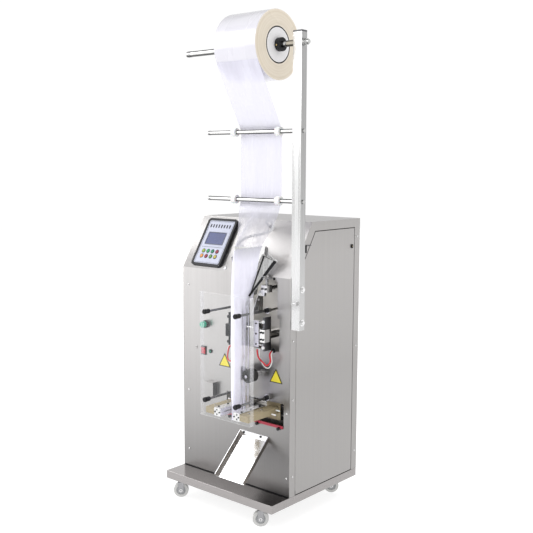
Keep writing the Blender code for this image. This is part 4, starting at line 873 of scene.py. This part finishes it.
def film():
    """The web from the reel, behind both rods, over the plough, and down as a folded tube."""
    collar = (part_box("film_collar_upper_left")[1].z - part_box("film_collar_upper_left")[0].z) / 2 + 0.0005
    reel = (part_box("film_roll")[1].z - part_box("film_roll")[0].z) / 2 + 0.0006
    drift, drop = ROLL_AXIS.x - CENTRE, ROLL_AXIS.z - UPPER_ROD.z
    across = range(-FILM_STEPS, FILM_STEPS + 1)
    rows = []
    for y, z in web_spine(collar, reel):
        middle = CENTRE + drift * ease((z - UPPER_ROD.z) / (drop - 0.05))
        rows.append([(middle + FILM_HALF * k / FILM_STEPS, y, z) for k in across])
    for z in [1.190 - 0.015 * k for k in range(24)] + [0.810 - 0.010 * k for k in range(42)]:
        half = folded(z) if z > 0.812 else tubular(z)
        left = [(CENTRE - x, y, z) for x, y in reversed(half[1:])]
        rows.append(left + [(CENTRE + x, y, z) for x, y in half])
    shape = bmesh.new()
    wing = shape.verts.layers.float.new("wing")
    grid = [[shape.verts.new(point) for point in row] for row in rows]
    for row in grid:
        for k, vert in zip(across, row):
            vert[wing] = abs(k) / FILM_STEPS
    for upper, lower in zip(grid, grid[1:]):
        for a, b, c, d in zip(upper, upper[1:], lower[1:], lower):
            shape.faces.new((a, b, c, d))
    web = finished("film", shape, FILM, angle=75)
    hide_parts("film_web")


def hose():
    """The clear hose from the port on the slant into the top of the fill tube, and its two clips."""
    port = on_slant(0.060, 0.205)
    low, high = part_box("fill_tube")
    mouth = Vector((CENTRE, (low.y + high.y) / 2, high.z))
    start = port + 0.0123 * SLANT_OUT
    points = [start, port + 0.032 * SLANT_OUT + Vector((0.002, 0, 0)), (0.092, -0.050, 1.134),
              (0.128, -0.074, 1.122), (0.138, -0.105, 1.098), (0.115, -0.140, 1.086), (0.091, -0.174, 1.077),
              (0.079, -0.200, 1.062), *(mouth + Vector((0, 0, up)) for up in (0.016, 0.006, 0.0003))]
    path = curved(points)
    tube = swept("clear_hose", path, 0.0048, HOSE, 16)
    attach(tube, "machine")
    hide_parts("fill_hose")
    clips = bmesh.new()
    for k in (3, len(path) - 5):
        place = aimed(path[k], path[k + 1] - path[k - 1])
        ring(clips, place, 0.006, 0.0049, -0.0022, 0.0022, 24)
    finished("hose_clips", clips, CHROME, 0.0003)


film()
hose()


# ---- former, sealers and jaws
def former_details():
    """Painted shade as dark strips along the wings' edges, and the screws of the clamp."""
    for side, name in ((-1, "left"), (1, "right")):
        a = Vector((CENTRE + side * 0.062, -0.1424, 1.01))
        b = Vector((CENTRE + side * 0.1125, -0.1252, 0.9895))
        c = Vector((CENTRE + side * 0.0225, -0.1774, 0.855))
        fore = (b - a).cross(c - a).normalized()
        fore = fore if fore.y < 0 else -fore
        # painted shade: black strips along each wing's three edges
        wing_shade_strips = bmesh.new()
        for start, end, width in ((b, c, 0.0125), (a, c, 0.0058), (a, b, 0.0022)):
            along = (end - start).normalized()
            inward = fore.cross(along)
            inward = inward if ((a + b + c) / 3 - start).dot(inward) > 0 else -inward
            end_in, start_in = end - 0.004 * along, start + 0.004 * along
            corners = [start, end_in, end_in + inward * width * 0.5, start_in + inward * width]
            sides = [[wing_shade_strips.verts.new(p + fore * out) for p in corners] for out in (0.0006, 0.0016)]
            for face in sides:
                wing_shade_strips.faces.new(face)
            bridge(wing_shade_strips, sides)
        finished("wing_edges_" + name, wing_shade_strips, BLACK)
    screws("clamp_screws", [(x, -0.1541, 0.889) for x in (0.1445, 0.16)], FORE, 0.0042, DARK_METAL,
           height=0.004, head=cap_head)
    screws("wing_screws", [(CENTRE + s * 0.0715, -0.1541, 0.932) for s in (-1, 1)], FORE, 0.0036, DARK_METAL,
           height=0.003, head=cap_head)
    screws("dome_bolt", [(0.172, FRONT - GAP, 0.925)], FORE, 0.0052, BLACK, height=0.0034)


former_details()


def sealer_details(side, name):
    """A dark sealing strip, knobs and screws on a vertical sealer, and the screws and pins of its jaw."""
    def across(*values):
        return [CENTRE + side * value for value in values]

    body, jaw = "sealer_" + name, "jaw_" + name
    face = rectangle(sorted(across(0.0362, 0.037)), (-0.16, -0.15))
    strip = prism(bmesh.new(), Matrix(), face, 0.674, 0.769)
    finished("sealing_strip_" + name, strip, TAPE, body=body)
    knobs = bmesh.new()
    for z in (0.77, 0.674):
        turned(knobs, aimed((*across(0.0865), -0.1683, z), FORE),
               [(0, 0.0062), (0.0052, 0.0062), (0.0064, 0.005), (0.0064, 0)])
    finished("sealer_knobs_" + name, knobs, NYLON if side > 0 else BLACK, 0.0004, body)
    places = [(*across(0.0495), -0.1682, z) for z in (0.683, 0.7215, 0.76)]
    screws("sealer_screws_" + name, places, FORE, 0.0034, DARK_METAL, body, 0.002, cap_head)
    places = [(x, -0.1762, z) for x in across(0.0805, 0.0915) for z in (0.705, 0.731)]
    screws("clamp_bolts_" + name, places, FORE, 0.0036, BLACK, body, 0.003, cap_head)
    bar_low, bar_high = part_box("jaw_bar_" + name)
    places = [(x, bar_low.y - GAP, JAW_FACE_Z) for x in across(0.0375, 0.059)]
    screws("jaw_screws_" + name, places, FORE, 0.0032, BLACK, jaw, 0.0016, cap_head)
    places = [(*across(0.058), y, bar_high.z + GAP) for y in (-0.255, -0.205, -0.155)]
    screws("jaw_top_screws_" + name, places, (0, 0, 1), 0.004, BLACK, jaw, 0.0026, cap_head)
    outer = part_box("jaw_carriage_" + name)[1 if side > 0 else 0].x
    pins = bmesh.new()
    for y, z in ((-0.126, 0.434), (-0.15, 0.424)):
        turned(pins, aimed((outer + side * GAP, y, z), (side, 0, 0)),
               [(0, 0.0026), (0.018, 0.0026), (0.019, 0.002), (0.019, 0)], 16)
    finished("jaw_pins_" + name, pins, NYLON, body=jaw)
    places = [(*across(0.085), y, JAW_FACE_Z + 0.0117) for y in (-0.245, -0.175)]
    screws("carriage_screws_" + name, places, (0, 0, 1), 0.0046, CHROME, jaw, 0.003, cap_head)


sealer_details(-1, "left")
sealer_details(1, "right")


# ---- mast, reel, door, rear and casters
def mast_details():
    """A black disc as painted shade for the small hole in the mast's side, the mast's cap, dark rings as
    painted shade for the grooves at the rods' turned ends, and a collar's screw.
    """
    # painted shade: a black disc for the small dark hole in the mast's side
    plug = turned(bmesh.new(), aimed((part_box("guide_rod_lower")[1].x - 0.0078, -0.0988, 1.1297), SIDEWAYS),
                  [(0, 0.003), (0.0006, 0.003), (0.0006, 0)])
    finished("mast_plug", plug, BLACK)
    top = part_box("mast")[1].z
    cap = border(bmesh.new(), Matrix(), (MAST_FACE - 0.0393, MAST_FACE + 0.0003),
                 (ROLL_AXIS.y - 0.015, ROLL_AXIS.y + 0.015), 0.0012, 0.0008, top - 0.005, top + 0.001)
    finished("mast_cap", cap, DARK_METAL, 0.0002)
    # painted shade: dark rings for the grooves near the rods' ends
    groove_shade = bmesh.new()
    rods = (("roll_shaft", ROLL_AXIS, 0.011, 5), ("guide_rod_upper", UPPER_ROD, 0.008, 2),
            ("guide_rod_lower", LOWER_ROD, 0.008, 2))
    for node, axis, radius, count in rods:
        for k in range(count):
            place = aimed((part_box(node)[0].x + 0.006 + 0.004 * k, axis.y, axis.z), SIDEWAYS)
            ring(groove_shade, place, radius + 0.0004, radius + 0.0001, 0.0, 0.0012, 24)
    finished("rod_grooves", groove_shade, DARK_METAL)
    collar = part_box("shaft_collar_right")[0]
    screws("collar_screw", [(collar.x + 0.009, collar.y + 0.0008, ROLL_AXIS.z - 0.004)], FORE, 0.003, BRASS,
           height=0.0016, head=cap_head)


mast_details()


def door_details():
    """The door's hinge and stay, the frame's screws, and the slot in the lock."""
    hinges = bmesh.new()
    for k in range(25):
        place = aimed((RIGHT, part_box("side_door")[0].y - 0.002, 0.126 + 0.031 * k), (0, 0, 1))
        turned(hinges, place, [(0, 0), (0, 0.0012), (0.03, 0.0012), (0.03, 0)], 10)
    finished("door_hinges", hinges, SIDE, 0.0003)
    face = RIGHT + 0.0004
    stay = prism(bmesh.new(), Matrix.Translation((face, -0.035, 0)),
                 [(0, 0), (0.0045, 0), (0.0045, 0.028), (0, 0.028)], 1.0445, 1.0475)
    finished("stay_bar", stay, DARK_METAL, 0.0003)
    catch = prism(bmesh.new(), Matrix.Translation((face, -0.0415, 0)),
                  [(0, 0), (0.0055, 0), (0.0055, 0.006), (0, 0.006)], 1.02, 1.049)
    finished("stay_catch", catch, BLACK, 0.0004)
    edges = ((-0.103, (0.185, 0.479, 0.700)), (0.295, (0.185, 0.620, 1.060)))
    places = [(RIGHT + GAP, y, z) for y, heights in edges for z in heights]
    screws("frame_screws", places, SIDEWAYS, 0.0038, CHROME)
    places = [(LEFT - GAP, y, z) for y in (-0.100, 0.290) for z in (0.170, 0.520, 0.880)]
    screws("left_screws", places, (-1, 0, 0), 0.0038, CHROME)
    low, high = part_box("door_lock")
    slot = prism(bmesh.new(), aimed((high.x + 0.0001, (low.y + high.y) / 2, 1.0235), SIDEWAYS),
                 rectangle((-0.0008, 0.0008), (-0.0024, 0.0024)), 0.0, 0.0003)
    finished("key_slot", slot, BRASS, body="lock")


door_details()


def rear_details():
    """The rear panel's screws, and the inlet's pins."""
    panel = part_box("rear_panel")[1].y
    places = [(x, panel + 0.0001, z) for x in (-0.290, -0.030, 0.230) for z in (0.130, 0.460, 0.800, 1.110)]
    screws("rear_screws", places, (0, 1, 0), 0.004, CHROME, height=0.0016)
    middle = (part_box("power_inlet")[0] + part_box("power_inlet")[1]) / 2
    pins = bmesh.new()
    for dx, dz in ((-0.007, -0.0025), (0.007, -0.0025), (0.0, 0.003)):
        prism(pins, Matrix.Translation((middle.x + dx, 0, middle.z + dz - 0.0015)),
              rectangle((-0.001, 0.001), (panel - 0.013, panel - 0.003)), -0.002, 0.002)
    finished("inlet_pins", pins, BRASS)


rear_details()


def caster_details():
    """A nut on each end of every axle."""
    for name in WHEELS.split():
        corner = name.replace("caster_wheel_", "")
        hub = (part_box(name)[0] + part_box(name)[1]) / 2
        nuts = bmesh.new()
        for side in (-1, 1):
            ring(nuts, aimed(hub + side * 0.016 * AXLE, side * AXLE), 0.007, 0.0042, 0.0, 0.0012, 6)
        finished("axle_nuts_" + corner, nuts, CHROME, 0.0002, "fork_" + corner)


caster_details()


# ---- studio
def lamp(name, kind, place, power):
    """A lamp at a place, turned to the machine's lower middle."""
    data = bpy.data.lights.new(name, kind)
    data.energy = power
    made = linked(name, data)
    made.location = place
    made.rotation_euler = (Vector(place) - Vector((0, 0, 0.8))).to_track_quat("Z", "Y").to_euler()
    return data


def studio():
    """A pale floor, and a soft white room that is dimmer low down on the sides that the metal mirrors."""
    floor = bpy.data.meshes.new("floor")
    shape = bmesh.new()
    bmesh.ops.create_circle(shape, cap_ends=True, segments=64, radius=14.0)
    shape.to_mesh(floor)
    shape.free()
    pale, tree, shader = material("pale_floor", roughness=0.8, emission_color=(1.0, 1.0, 1.0),
                                  emission_strength=0.80)
    feed(tree, shader, base_color=tinted(tree, noise(tree, 3.0), (0.32, 0.32, 0.32), (0.34, 0.34, 0.34)))
    floor.materials.append(pale)
    ground = linked("floor", floor)
    world = bpy.data.worlds.new("studio")
    bpy.context.scene.world = world
    world.use_nodes = True
    tree = world.node_tree
    way = add(tree, "SeparateXYZ", Vector=add(tree, "TexCoord").outputs["Generated"]).outputs
    front, side = ramp(tree, way[1], 0.85, 0.0, -1.0, -0.1), ramp(tree, way[0], 0.0, 0.60, 0.1, 1.0)
    dim = calc(tree, "MULTIPLY", calc(tree, "MAXIMUM", front, side), ramp(tree, way[2], 1.0, 0.0, 0.0, 0.45))
    background = tree.nodes["Background"].inputs
    tree.links.new(ramp(tree, dim, 1.02, 0.20, 0.0, 1.0), background["Strength"])
    background["Color"].default_value = (1.0, 1.0, 1.0, 1.0)
    for name, place, power in (("key", (-2.7, -2.2, 2.7), 62.0), ("top", (-0.6, 0.1, 4.0), 18.0)):
        data = lamp(name, "AREA", place, power)
        data.shape, data.size = "SQUARE", 2.4
    lamp("overhead", "SUN", (0, 0, 5), 0.9).angle = math.radians(60)
    bpy.context.scene.view_settings.view_transform = "Standard"


studio()
